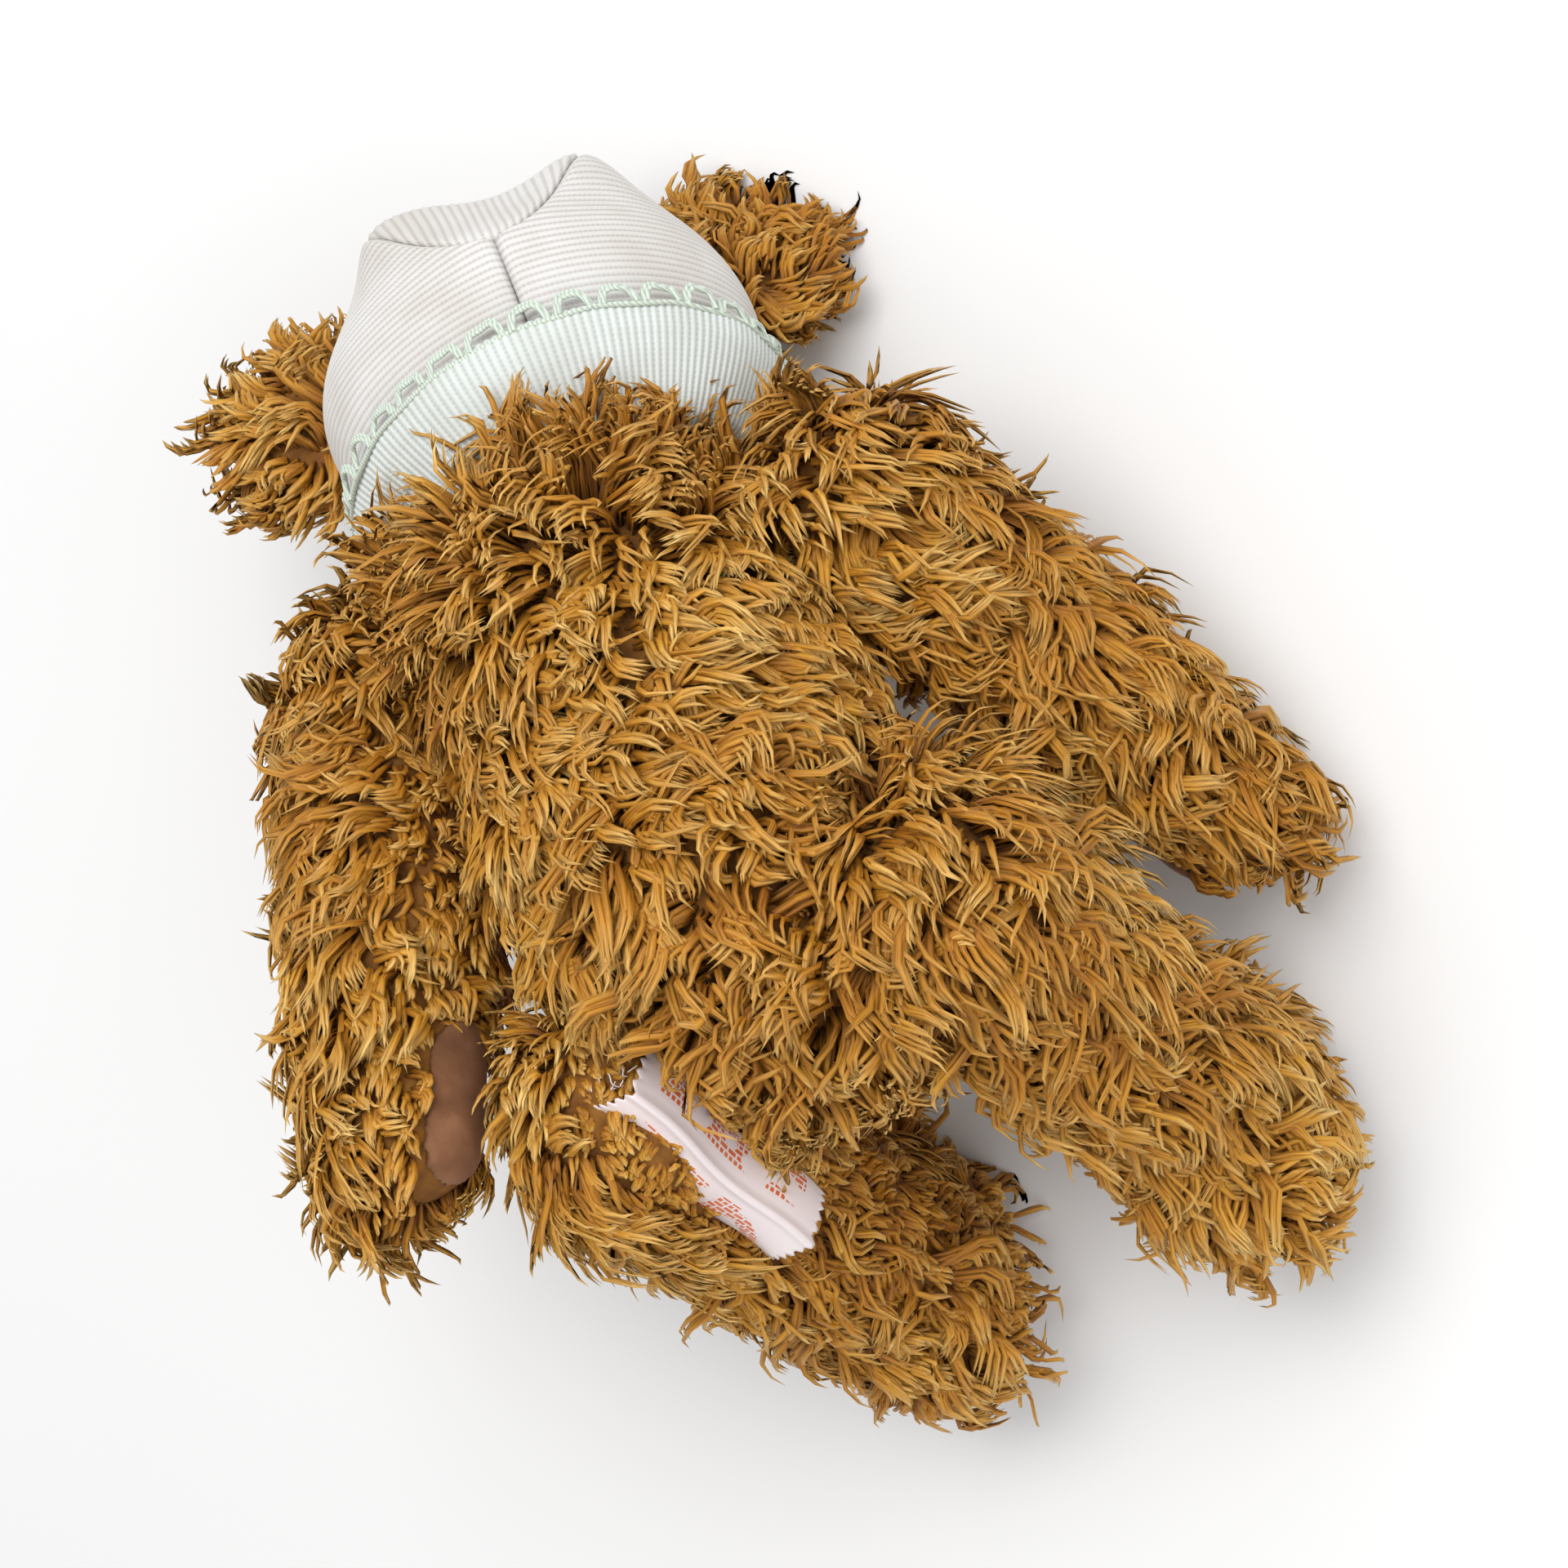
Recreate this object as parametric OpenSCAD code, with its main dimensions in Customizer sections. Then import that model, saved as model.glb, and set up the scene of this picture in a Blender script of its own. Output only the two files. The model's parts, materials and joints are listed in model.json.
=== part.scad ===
// Jointed teddy bear in a knitted bonnet.
// Five limbs turn on pressed disc joints: the head about the neck, arms and legs about the sides.
// The bear is drawn in its own frame first: +X is the bear's left, -Y its front and +Z its head.
// Then it is laid on its front: head towards +Y, back towards +Z, on the plane z = 0.
// The plush is drawn at its backing cloth; the pile stands some millimetres proud of it.

/* [Body] */
// Radius of the body at its widest
body_r = 38; // [36:0.5:38.5]
// Height of the body's widest ring
body_mid_z = -6; // [-8:1:-4]
// From the widest ring up to the neck
body_up = 68; // [67:1:69]
// From the widest ring down to the crotch
body_down = 62; // [60:1:64]
// Thickness of the plush's backing and seams
cloth_t = 2.5; // [2:0.1:3]

/* [Head] */
// Radius of the head under the bonnet
head_r = 43; // [42:0.5:43]
// Height of the head's centre
head_z = 99; // [98.8:0.1:99.2]
// How far the neck sits forward of the spine
neck_forward = 8; // [6:1:9]
// Turn of the head to the bear's left, at rest
head_turn = 27; // [-180:1:180]
// Radius of one ear
ear_r = 17; // [15:0.5:18]
// Thickness of one ear
ear_t = 10; // [8:0.5:11]
// Radius of the muzzle
muzzle_r = 18; // [16:0.5:19]

/* [Bonnet] */
// Thickness of the rib knit
knit_t = 3; // [2:0.1:3.2]
// Radius of the two soft corners at the crown
corner_r = 9.5; // [9:0.5:11]
// Half width of the top panel
top_half_w = 25; // [22:0.5:27]
// Outer radius of the turned-up cuff
cuff_r = 49; // [48.5:0.5:49.5]
// Height of the scalloped trim
trim_h = 4; // [3:0.5:5]

/* [Arms] */
// From the spine to the middle of an arm at its joint
arm_x = 52; // [52:0.5:54]
// Height of the shoulder joints
shoulder_z = 42; // [41:0.5:43]
// How much higher the left shoulder sits than the mean
shoulder_lean = 8; // [6:1:8]
// How far back the left shoulder sits from the mean
shoulder_skew = 6; // [4:1:6]
// Turn of the shoulder line about the spine
shoulder_turn = 4; // [2:1:4]
// Outward slope of a hanging arm
arm_splay = 14; // [14:1:16]
// From the shoulder joint to the middle of the paw
arm_len = 98; // [94:1:100]
// Left arm forward of straight down, at rest
arm_left_angle = -5; // [-45:1:90]
// Right arm forward of straight down, at rest
arm_right_angle = 46; // [-45:1:90]

/* [Legs] */
// From the spine to the middle of a leg
hip_x = 38; // [38:0.5:40]
// Height of the hip joints
hip_z = -56; // [-57:0.5:-55]
// Half thickness of a leg, side to side
leg_half_t = 17; // [16:0.5:17]
// From the hip joint to the sole
leg_len = 112; // [108:1:114]
// Half width of the foot
foot_r = 16.5; // [15:0.5:16.5]
// Left leg forward of straight down, at rest
leg_left_angle = 75; // [0:1:90]
// Right leg forward of straight down, at rest
leg_right_angle = 71; // [0:1:90]

/* [Joints] */
// Radius of a joint's stem
stem_r = 2.5; // [2:0.1:3]
// Radial clearance of a stem in its hole
fit = 0.05; // [0.02:0.01:0.09]
// Gap between a limb and the body
limb_gap = 0.4; // [0.4:0.05:0.6]
// Thickness of a joint disc
disc_t = 2; // [1.6:0.1:2.2]
// Radius of a lock washer
washer_r = 6; // [5:0.5:7]

/* [Hidden] */

$fn = 64;
FAR = 200;            // larger than the bear, for cutting planes
LEFT = 1;
RIGHT = -1;
SKIN_FUR = "#b07a2e";
STUFFING = "#f2efe8";
SUEDE = "#7b5138";
KNIT = "#e9e4dc";
DISC = "#a8977a";
STEEL = "#b9bcc0";

// How the drawn bear is laid down: turns about X, Y and Z, then a shift
lie_turn = [110.2, -2.8, 179];
lie_shift = [3.63, 0.82, 90.41];

neck_z = head_z - 40;                 // the head's flat underside
body_top = neck_z - limb_gap;         // the body's flat top
shoulder_seat = 36.5;                 // from the spine to the flat that an arm turns on
hip_seat = hip_x - leg_half_t - limb_gap;
seat_r = 13;                          // radius of the bosses at the shoulders and hips
pocket_gap = 0.3;                     // stuffing to disc
body_disc_r = 10;                     // discs inside the body, and those inside the legs
arm_disc_r = 8;                       // discs inside the arms

/* ---------- placing ---------- */

// lays the whole bear on its front
module lay() translate(lie_shift) rotate(lie_turn) children();

// head frame: origin at the head's centre, on the neck's axis
module at_head() lay() translate([0, -neck_forward, head_z]) rotate([0, 0, head_turn]) children();

// shoulder frame: X along the joint, side is LEFT or RIGHT
module at_shoulder(side)
    lay() translate([0, side * shoulder_skew, shoulder_z + side * shoulder_lean])
        rotate([0, 0, shoulder_turn]) children();

// hip frame: X along the joint
module at_hip() lay() translate([0, 0, hip_z]) children();

// an arm or a leg swung forward about its joint
module swing(angle) rotate([-angle, 0, 0]) children();

function arm_angle(side) = side == LEFT ? arm_left_angle : arm_right_angle;
function leg_angle(side) = side == LEFT ? leg_left_angle : leg_right_angle;

// a cylinder along X, from x0 to x1 on the given side
module bar_x(side, x0, x1, r)
    translate([side > 0 ? x0 : -x1, 0, 0]) rotate([0, 90, 0]) cylinder(r = r, h = x1 - x0);

// a ring along X
module ring_x(side, x0, x1, r, hole)
    difference() {
        bar_x(side, x0, x1, r);
        bar_x(side, x0 - 1, x1 + 1, hole);
    }

/* ---------- body ---------- */

// half outline of the body: a rounded egg, fuller above than below
function body_outline(inset) = [for (i = [0:24])
    let (up = cos(i * 7.5), full = up > 0 ? 3 : 2.4, half_h = (up > 0 ? body_up : body_down) - inset)
    [(body_r - inset) * pow(max(0, 1 - pow(abs(up), full)), 1 / full), body_mid_z + half_h * up]];

// the room that both legs sweep, as an outline seen from the front
module hip_room(grow)
    for (side = [LEFT, RIGHT]) {
        translate([side * hip_x, hip_z]) intersection() {
            circle(r = 21.6 + grow);
            square([2 * (leg_half_t + limb_gap + grow), FAR], center = true);
        }
        translate([side > 0 ? hip_seat - grow : -FAR - hip_seat + grow, hip_z - FAR]) square([FAR, FAR]);
    }

// round bosses that the arms turn on
module shoulder_seats(from, inset)
    for (side = [LEFT, RIGHT])
        translate([0, side * shoulder_skew, shoulder_z + side * shoulder_lean])
            rotate([0, 0, shoulder_turn]) bar_x(side, from, shoulder_seat - inset, seat_r - inset);

module body_form(inset) {
    difference() {
        union() {
            difference() {
                union() {
                    rotate_extrude() polygon(body_outline(inset));
                    shoulder_seats(10, inset);
                    for (side = [LEFT, RIGHT])
                        translate([0, 0, hip_z]) bar_x(side, 4 + inset, hip_x, seat_r - inset);
                }
                translate([-FAR / 2, -FAR / 2, body_top - inset]) cube(FAR);
            }
            // the higher shoulder stands above the flat top, clear of the head
            shoulder_seats(24 + inset, inset);
        }
        rotate([90, 0, 0]) linear_extrude(FAR, center = true) hip_room(inset);
    }
}

// the five holes that the stems run through
module stem_holes(r) {
    translate([0, -neck_forward, body_top - 20]) cylinder(r = r, h = 30);
    for (side = [LEFT, RIGHT]) {
        translate([0, side * shoulder_skew, shoulder_z + side * shoulder_lean])
            rotate([0, 0, shoulder_turn]) bar_x(side, 20, 45, r);
        translate([0, 0, hip_z]) bar_x(side, 9, 30, r);
    }
}

module body_skin()
    color(SKIN_FUR) lay() difference() {
        body_form(0);
        body_form(cloth_t);
        stem_holes(stem_r + fit);
    }

module body_stuffing()
    color(STUFFING) lay() difference() {
        body_form(cloth_t + 0.1);
        // pockets round the body-side discs and washers
        translate([0, -neck_forward, body_top - 12]) cylinder(r = body_disc_r + pocket_gap, h = 20);
        for (side = [LEFT, RIGHT]) {
            translate([0, side * shoulder_skew, shoulder_z + side * shoulder_lean])
                rotate([0, 0, shoulder_turn]) bar_x(side, shoulder_seat - 12, FAR, body_disc_r + pocket_gap);
            translate([0, 0, hip_z]) bar_x(side, hip_seat - 12, FAR, body_disc_r + pocket_gap);
        }
    }

/* ---------- disc joints ---------- */

// limb-side disc with its stem; seat is the body's flat, face the limb's flat
module stem_disc_x(side, seat, face, r) {
    bar_x(side, face + cloth_t + 0.1, face + cloth_t + 0.1 + disc_t, r);
    bar_x(side, seat - cloth_t - disc_t - 5.5, face + cloth_t + 0.2, stem_r);
}

// body-side disc, loose on the stem inside the body
module body_disc_x(side, seat, r)
    ring_x(side, seat - cloth_t - 0.1 - disc_t, seat - cloth_t - 0.1, r, stem_r + fit);

// toothed lock washer, pressed on the stem behind the body-side disc
module lock_washer_x(side, seat)
    ring_x(side, seat - cloth_t - disc_t - 3, seat - cloth_t - disc_t - 1.4, washer_r, stem_r);

/* ---------- arms ---------- */

shoulder_r = 17.5;    // the arm's round top
forearm_r = 17;
paw_r = 13.8;

// an arm hanging from the shoulder joint, grown or shrunk by grow
module arm_form(side, grow)
    intersection() {
        translate([side * arm_x, 0, 0]) rotate([0, -side * arm_splay, 0]) {
            sphere(r = shoulder_r + grow);
            translate([0, 0, -30]) cylinder(r1 = forearm_r + grow, r2 = shoulder_r - 0.3 + grow, h = 26);
            translate([0, 0, -0.66 * arm_len]) cylinder(r = forearm_r + grow, h = 0.66 * arm_len - 29.9);
            translate([0, 0, -arm_len + 2])
                cylinder(r1 = paw_r + grow, r2 = forearm_r + grow, h = 0.34 * arm_len - 1.9);
            translate([0, 0, -arm_len]) sphere(r = paw_r + grow);
            translate([0, 0, -arm_len]) cylinder(r = paw_r + grow, h = 2.1);
        }
        // flat inner side, where the arm turns on the body
        translate([side * (shoulder_seat + limb_gap - grow + FAR / 2), 0, 0]) cube([FAR, FAR, 2 * FAR], center = true);
    }

module arm_skin(side)
    color(SKIN_FUR) at_shoulder(side) swing(arm_angle(side)) difference() {
        arm_form(side, 0);
        arm_form(side, -cloth_t);
        bar_x(side, 30, 45, stem_r + fit);
    }

module arm_stuffing(side)
    color(STUFFING) at_shoulder(side) swing(arm_angle(side)) difference() {
        arm_form(side, -cloth_t - 0.1);
        bar_x(side, 30, shoulder_seat + limb_gap + cloth_t + disc_t + 0.4, arm_disc_r + pocket_gap);
    }

// suede patch on the inner side of the paw
module arm_paw_pad(side)
    color(SUEDE) at_shoulder(side) swing(arm_angle(side)) difference() {
        intersection() {
            arm_form(side, 1);
            // a stadium outline cut through from the inner side
            translate([side * (arm_x - 4), 0, 0]) rotate([0, -side * arm_splay, 0]) {
                for (z = [-0.9 * arm_len, -1.04 * arm_len])
                    translate([0, 0, z]) bar_x(-side, 0, 40, 9);
                translate([-side * 20, 0, -0.97 * arm_len]) cube([40, 18, 0.14 * arm_len], center = true);
            }
        }
        arm_form(side, 0.02);
    }

module arm_stem_disc(side)
    color(DISC) at_shoulder(side) swing(arm_angle(side))
        stem_disc_x(side, shoulder_seat, shoulder_seat + limb_gap, arm_disc_r);

module arm_lock_washer(side)
    color(STEEL) at_shoulder(side) swing(arm_angle(side)) lock_washer_x(side, shoulder_seat);

module arm_body_disc(side)
    color(DISC) at_shoulder(side) body_disc_x(side, shoulder_seat, body_disc_r);

/* ---------- legs ---------- */

thigh_r = 20.5;
ankle_r = 18;
foot_z = -leg_len + foot_r;           // middle of the foot
heel_y = 6;                           // rear and front centres of the foot's rounded ends
toe_y = -17;

module foot_outline(grow) {
    for (y = [heel_y, toe_y]) translate([0, y]) circle(r = foot_r + grow);
    translate([-foot_r - grow, toe_y]) square([2 * (foot_r + grow), heel_y - toe_y]);
}

// a leg standing straight down from the hip joint
module leg_form(side, grow)
    intersection() {
        translate([side * hip_x, 0, 0]) {
            sphere(r = 21 + grow);
            translate([0, 0, -60]) cylinder(r1 = ankle_r + grow, r2 = thigh_r + grow, h = 60);
            translate([0, 0, foot_z]) cylinder(r = ankle_r + grow, h = -60 - foot_z + 0.1);
            for (y = [heel_y, toe_y]) translate([0, y, foot_z]) sphere(r = foot_r + grow);
            translate([0, heel_y, foot_z]) rotate([90, 0, 0]) cylinder(r = foot_r + grow, h = heel_y - toe_y);
            translate([0, 0, -leg_len - grow]) linear_extrude(foot_r + grow) foot_outline(grow);
        }
        translate([side * hip_x, 0, 0]) cube([2 * (leg_half_t + grow), FAR, 2 * FAR], center = true);
    }

module leg_skin(side)
    color(SKIN_FUR) at_hip() swing(leg_angle(side)) difference() {
        leg_form(side, 0);
        leg_form(side, -cloth_t);
        bar_x(side, 15, 30, stem_r + fit);
    }

module leg_stuffing(side)
    color(STUFFING) at_hip() swing(leg_angle(side)) difference() {
        leg_form(side, -cloth_t - 0.1);
        bar_x(side, 15, hip_x - leg_half_t + cloth_t + disc_t + 0.4, body_disc_r + pocket_gap);
    }

// suede sole
module leg_foot_pad(side)
    color(SUEDE) at_hip() swing(leg_angle(side))
        translate([side * hip_x, 0, -leg_len - 1.2]) linear_extrude(1.2) foot_outline(-2);

module leg_stem_disc(side)
    color(DISC) at_hip() swing(leg_angle(side)) stem_disc_x(side, hip_seat, hip_x - leg_half_t, body_disc_r);

module leg_lock_washer(side)
    color(STEEL) at_hip() swing(leg_angle(side)) lock_washer_x(side, hip_seat);

module leg_body_disc(side)
    color(DISC) at_hip() body_disc_x(side, hip_seat, body_disc_r);

label_fold = [25.6, 12.6, 16];        // the fold's upper end, beside the left leg's rear seam
label_size = [1.6, 15, 50];           // thickness, depth of a leaf, length along the fold
label_lean = [14.4, 23.4];            // the fold's slope along the leg, and the leaves' lean inwards

// folded satin strip, sewn into the left leg's rear seam beside the crotch
module care_label()
    color("white") at_hip() swing(leg_left_angle) difference() {
        translate(label_fold) rotate([label_lean[0], 0, 0]) rotate([0, 0, label_lean[1]])
            translate([-label_size[0] / 2, -label_size[1], -label_size[2]]) cube(label_size);
        leg_form(LEFT, 0.02);
    }

/* ---------- head ---------- */

muzzle_at = [0, -38, -10];
eye_at = [16, -37, 8];                // the left eye; its length is close to the head's radius
eye_r = 5;

module head_form(grow)
    difference() {
        union() {
            sphere(r = head_r + grow);
            translate(muzzle_at) sphere(r = muzzle_r + grow);
        }
        translate([-FAR / 2, -FAR / 2, -FAR - 40 - grow]) cube(FAR);
    }

// along an eye's own axis, from the head's centre outwards
module at_eye(side)
    rotate([0, 0, atan2(eye_at[1], side * eye_at[0])])
        rotate([0, 90 - asin(eye_at[2] / norm(eye_at)), 0]) children();

module head_skin()
    color(SKIN_FUR) at_head() difference() {
        head_form(0);
        head_form(-cloth_t);
        translate([0, 0, -50]) cylinder(r = stem_r + fit, h = 20);
        for (side = [LEFT, RIGHT]) at_eye(side) cylinder(r = 1.5, h = FAR);
    }

module head_stuffing()
    color(STUFFING) at_head() difference() {
        head_form(-cloth_t - 0.1);
        translate([0, 0, -45]) cylinder(r = body_disc_r + pocket_gap, h = 45 - 40 + cloth_t + disc_t + 0.5);
        for (side = [LEFT, RIGHT]) at_eye(side) translate([0, 0, head_r - 9]) cylinder(r = 6.3, h = FAR);
    }

// a flat round ear standing out of the side of the head
module ear_disc(side, grow)
    translate([side * 50, -5, 22]) rotate([90, 0, side * -12]) {
        cylinder(r = ear_r - ear_t / 2, h = ear_t + 2 * grow, center = true);
        rotate_extrude() translate([ear_r - ear_t / 2, 0]) circle(r = ear_t / 2 + grow);
    }

module ear(side)
    color(SKIN_FUR) at_head() difference() {
        ear_disc(side, 0);
        sphere(r = head_r + 0.05);
    }

module eye(side)
    color("black") at_head() at_eye(side) {
        difference() {
            translate([0, 0, head_r - 1]) sphere(r = eye_r);
            sphere(r = head_r + 0.02);
        }
        translate([0, 0, head_r - 7]) cylinder(r = 1.45, h = 8);
    }

module eye_washers()
    color(STEEL) at_head() for (side = [LEFT, RIGHT]) at_eye(side)
        translate([0, 0, head_r - 5.5]) difference() {
            cylinder(r = 5.5, h = 1.2);
            translate([0, 0, -1]) cylinder(r = 1.5, h = 4);
        }

module nose()
    color("black") at_head() difference() {
        translate(muzzle_at + [0, -muzzle_r + 2, 5]) sphere(r = 6.5);
        translate(muzzle_at) sphere(r = muzzle_r + 0.02);
    }

// one upright stitch below the nose and one curved stitch across its end, lying on the muzzle
module mouth_stitching()
    color("black") at_head() translate(muzzle_at) {
        rotate([0, 90, 0]) stitch(275, 25);
        rotate([30, 0, 0]) stitch(238, 64);
    }

// an arc of thread round the muzzle
module stitch(from, sweep)
    rotate_extrude(angle = sweep, start = from) translate([muzzle_r + 0.8, 0]) circle(r = 0.7);

module neck_stem_disc()
    color(DISC) at_head() {
        translate([0, 0, -40 + cloth_t + 0.1]) cylinder(r = body_disc_r, h = disc_t);
        translate([0, 0, -40 - limb_gap - cloth_t - disc_t - 5.5])
            cylinder(r = stem_r, h = limb_gap + 2 * cloth_t + disc_t + 5.7);
    }

module neck_body_disc()
    color(DISC) lay() translate([0, -neck_forward, body_top - cloth_t - 0.1 - disc_t]) difference() {
        cylinder(r = body_disc_r, h = disc_t);
        translate([0, 0, -1]) cylinder(r = stem_r + fit, h = disc_t + 2);
    }

module neck_lock_washer()
    color(STEEL) at_head() translate([0, 0, -40 - limb_gap - cloth_t - disc_t - 3]) difference() {
        cylinder(r = washer_r, h = 1.6);
        translate([0, 0, -1]) cylinder(r = stem_r, h = 4);
    }

/* ---------- bonnet ---------- */

cap_in = head_r + 0.1;
cap_out = cap_in + knit_t;
corner_at = [22, 24, 31];             // middle of the left soft corner
seam_z = 12;                          // the T seam's lowest point, on the centre-back seam
seam_rise = 30;                       // from there up to the corners
cuff_top = -14;                       // upper edge of the turned-up cuff
cap_low = cuff_top - 3;               // lower edge of the panels, under the cuff
face_tilt = 14;                       // the face opening leans, further forward at the crown

// everything behind the face opening
module behind_face()
    rotate([face_tilt, 0, 0]) translate([-FAR / 2, -9, -FAR / 2]) cube(FAR);

module cap_form()
    intersection() {
        difference() {
            union() {
                sphere(r = cap_out);
                for (side = [LEFT, RIGHT])
                    translate([side * corner_at[0], corner_at[1], corner_at[2]]) sphere(r = corner_r);
            }
            sphere(r = cap_in);
            for (side = [LEFT, RIGHT]) ear_disc(side, 0.2);
        }
        behind_face();
    }

// outline of the top panel seen from behind: straight sides, and a tongue down to the T seam
module top_outline(grow) {
    side_steps = 8;
    w = top_half_w + grow;
    polygon(concat(
        [for (i = [-side_steps:side_steps]) let (t = i / side_steps)
            [w * t, seam_z - grow + seam_rise * t * t]],
        [[w, FAR / 2], [-w, FAR / 2]]));
}

module top_region(grow) rotate([90, 0, 0]) linear_extrude(FAR, center = true) top_outline(grow);

// all that lies round the top panel
module round_top()
    rotate([90, 0, 0]) linear_extrude(FAR, center = true) difference() {
        square(2 * FAR, center = true);
        top_outline(0);
    }

module cap_side_panel(side)
    color(KNIT) at_head() difference() {
        cap_form();
        top_region(0.05);
        translate([side > 0 ? -FAR : 0, -FAR / 2, -FAR / 2]) cube(FAR);
        translate([-FAR / 2, -FAR / 2, cap_low - FAR]) cube(FAR);
    }

module cap_top_panel()
    color(KNIT) at_head() difference() {
        cap_form();
        round_top();
    }

// flared band round the neck, turned up over the panels' lower edge
module cap_cuff()
    color(KNIT) at_head() intersection() {
        difference() {
            rotate_extrude() polygon([[20, -34], [38, -34], [43, -27], [cuff_r - 1, -20],
                                      [cuff_r, cuff_top], [46.4, cuff_top],
                                      [46.4, cap_low - 0.1], [20, cap_low - 0.1]]);
            sphere(r = cap_in);
        }
        behind_face();
    }

module cap_trim()
    color("#dfe9df") at_head() intersection() {
        rotate_extrude() translate([cuff_r - 1, cuff_top + 0.05]) square([1.6, trim_h]);
        behind_face();
    }

body_skin();
body_stuffing();
neck_body_disc();
head_skin();
head_stuffing();
ear(LEFT);  // ear_left
ear(RIGHT);  // ear_right
eye(LEFT);  // eye_left
eye(RIGHT);  // eye_right
eye_washers();
nose();
mouth_stitching();
neck_stem_disc();
neck_lock_washer();
cap_side_panel(LEFT);  // cap_left_panel
cap_side_panel(RIGHT);  // cap_right_panel
cap_top_panel();
cap_cuff();
cap_trim();
arm_body_disc(LEFT);  // arm_left_body_disc
arm_skin(LEFT);  // arm_left_skin
arm_stuffing(LEFT);  // arm_left_stuffing
arm_paw_pad(LEFT);  // arm_left_paw_pad
arm_stem_disc(LEFT);  // arm_left_stem_disc
arm_lock_washer(LEFT);  // arm_left_lock_washer
arm_body_disc(RIGHT);  // arm_right_body_disc
arm_skin(RIGHT);  // arm_right_skin
arm_stuffing(RIGHT);  // arm_right_stuffing
arm_paw_pad(RIGHT);  // arm_right_paw_pad
arm_stem_disc(RIGHT);  // arm_right_stem_disc
arm_lock_washer(RIGHT);  // arm_right_lock_washer
leg_body_disc(LEFT);  // leg_left_body_disc
leg_skin(LEFT);  // leg_left_skin
leg_stuffing(LEFT);  // leg_left_stuffing
leg_foot_pad(LEFT);  // leg_left_foot_pad
leg_stem_disc(LEFT);  // leg_left_stem_disc
leg_lock_washer(LEFT);  // leg_left_lock_washer
care_label();
leg_body_disc(RIGHT);  // leg_right_body_disc
leg_skin(RIGHT);  // leg_right_skin
leg_stuffing(RIGHT);  // leg_right_stuffing
leg_foot_pad(RIGHT);  // leg_right_foot_pad
leg_stem_disc(RIGHT);  // leg_right_stem_disc
leg_lock_washer(RIGHT);  // leg_right_lock_washer
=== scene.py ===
"""A jointed teddy bear in a rib-knit bonnet: plush, knit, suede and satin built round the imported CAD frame."""

import json
import math

import bmesh
import bpy
import numpy as np
from bpy.props import FloatProperty, IntProperty, PointerProperty
from mathutils import Matrix, Vector
from mathutils.bvhtree import BVHTree

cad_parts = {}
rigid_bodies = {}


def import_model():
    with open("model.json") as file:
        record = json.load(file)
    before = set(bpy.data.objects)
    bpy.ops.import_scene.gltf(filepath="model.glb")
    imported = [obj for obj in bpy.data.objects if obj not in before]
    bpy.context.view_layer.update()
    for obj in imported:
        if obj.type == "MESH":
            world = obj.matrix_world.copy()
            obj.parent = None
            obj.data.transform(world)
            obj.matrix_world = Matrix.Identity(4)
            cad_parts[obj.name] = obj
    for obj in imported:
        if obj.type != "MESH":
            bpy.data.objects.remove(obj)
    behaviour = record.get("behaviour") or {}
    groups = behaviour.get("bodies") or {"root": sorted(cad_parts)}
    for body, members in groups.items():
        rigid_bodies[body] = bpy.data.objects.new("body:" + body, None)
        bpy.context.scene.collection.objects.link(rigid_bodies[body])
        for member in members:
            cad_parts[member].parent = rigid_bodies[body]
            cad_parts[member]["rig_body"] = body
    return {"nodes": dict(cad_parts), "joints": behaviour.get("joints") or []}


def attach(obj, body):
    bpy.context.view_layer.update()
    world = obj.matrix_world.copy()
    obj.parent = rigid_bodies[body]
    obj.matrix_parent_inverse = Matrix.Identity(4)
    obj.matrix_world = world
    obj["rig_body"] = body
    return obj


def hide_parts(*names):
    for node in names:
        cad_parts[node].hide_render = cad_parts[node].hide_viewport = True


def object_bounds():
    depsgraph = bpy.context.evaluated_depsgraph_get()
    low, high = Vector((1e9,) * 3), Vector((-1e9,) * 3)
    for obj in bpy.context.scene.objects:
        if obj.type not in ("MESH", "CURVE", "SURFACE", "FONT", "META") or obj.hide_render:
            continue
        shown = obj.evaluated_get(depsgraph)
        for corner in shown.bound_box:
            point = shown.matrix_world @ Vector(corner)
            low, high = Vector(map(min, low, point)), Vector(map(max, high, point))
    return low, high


bl_info = {
    "name": "Jointed teddy bear",
    "version": (1, 0, 0),
    "blender": (4, 5, 0),
    "location": "View3D > Sidebar > Bear",
    "description": "Dresses a jointed teddy bear in plush, with a knitted bonnet, pads, a label and a face",
    "category": "Object",
}

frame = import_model()
CAD_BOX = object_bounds()
MM = 0.001
LEFT, RIGHT = 1, -1
SIDES = ((LEFT, "left"), (RIGHT, "right"))
HIP_DOWN = 56  # from the body's middle down to the hips, in millimetres
FLOOR_GAP = 0.3  # millimetres that cloth and pile keep off the floor


# ---------- the bear's own frames: +X its left, -Y its front, +Z its head, in millimetres ----------


def joint(name):
    return next(j for j in frame["joints"] if j["name"] == name)


def turn(degrees, axis):
    return Matrix.Rotation(math.radians(degrees), 4, axis)


def shift(x, y, z):
    return Matrix.Translation((x, y, z))


def bear_frame():
    """The body's frame, found from the neck's and the hips' joints."""
    up = Vector(joint("neck_turn")["axis"]).normalized()
    left = -Vector(joint("hip_left")["axis"]).normalized()
    left = (left - left.dot(up) * up).normalized()
    back = up.cross(left)
    hips = (Vector(joint("hip_left")["pos_m"]) + Vector(joint("hip_right")["pos_m"])) / 2
    origin = hips + up * HIP_DOWN * MM
    m = Matrix((left * MM, back * MM, up * MM)).transposed().to_4x4()
    m.translation = origin
    return m


BODY = bear_frame()
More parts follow.
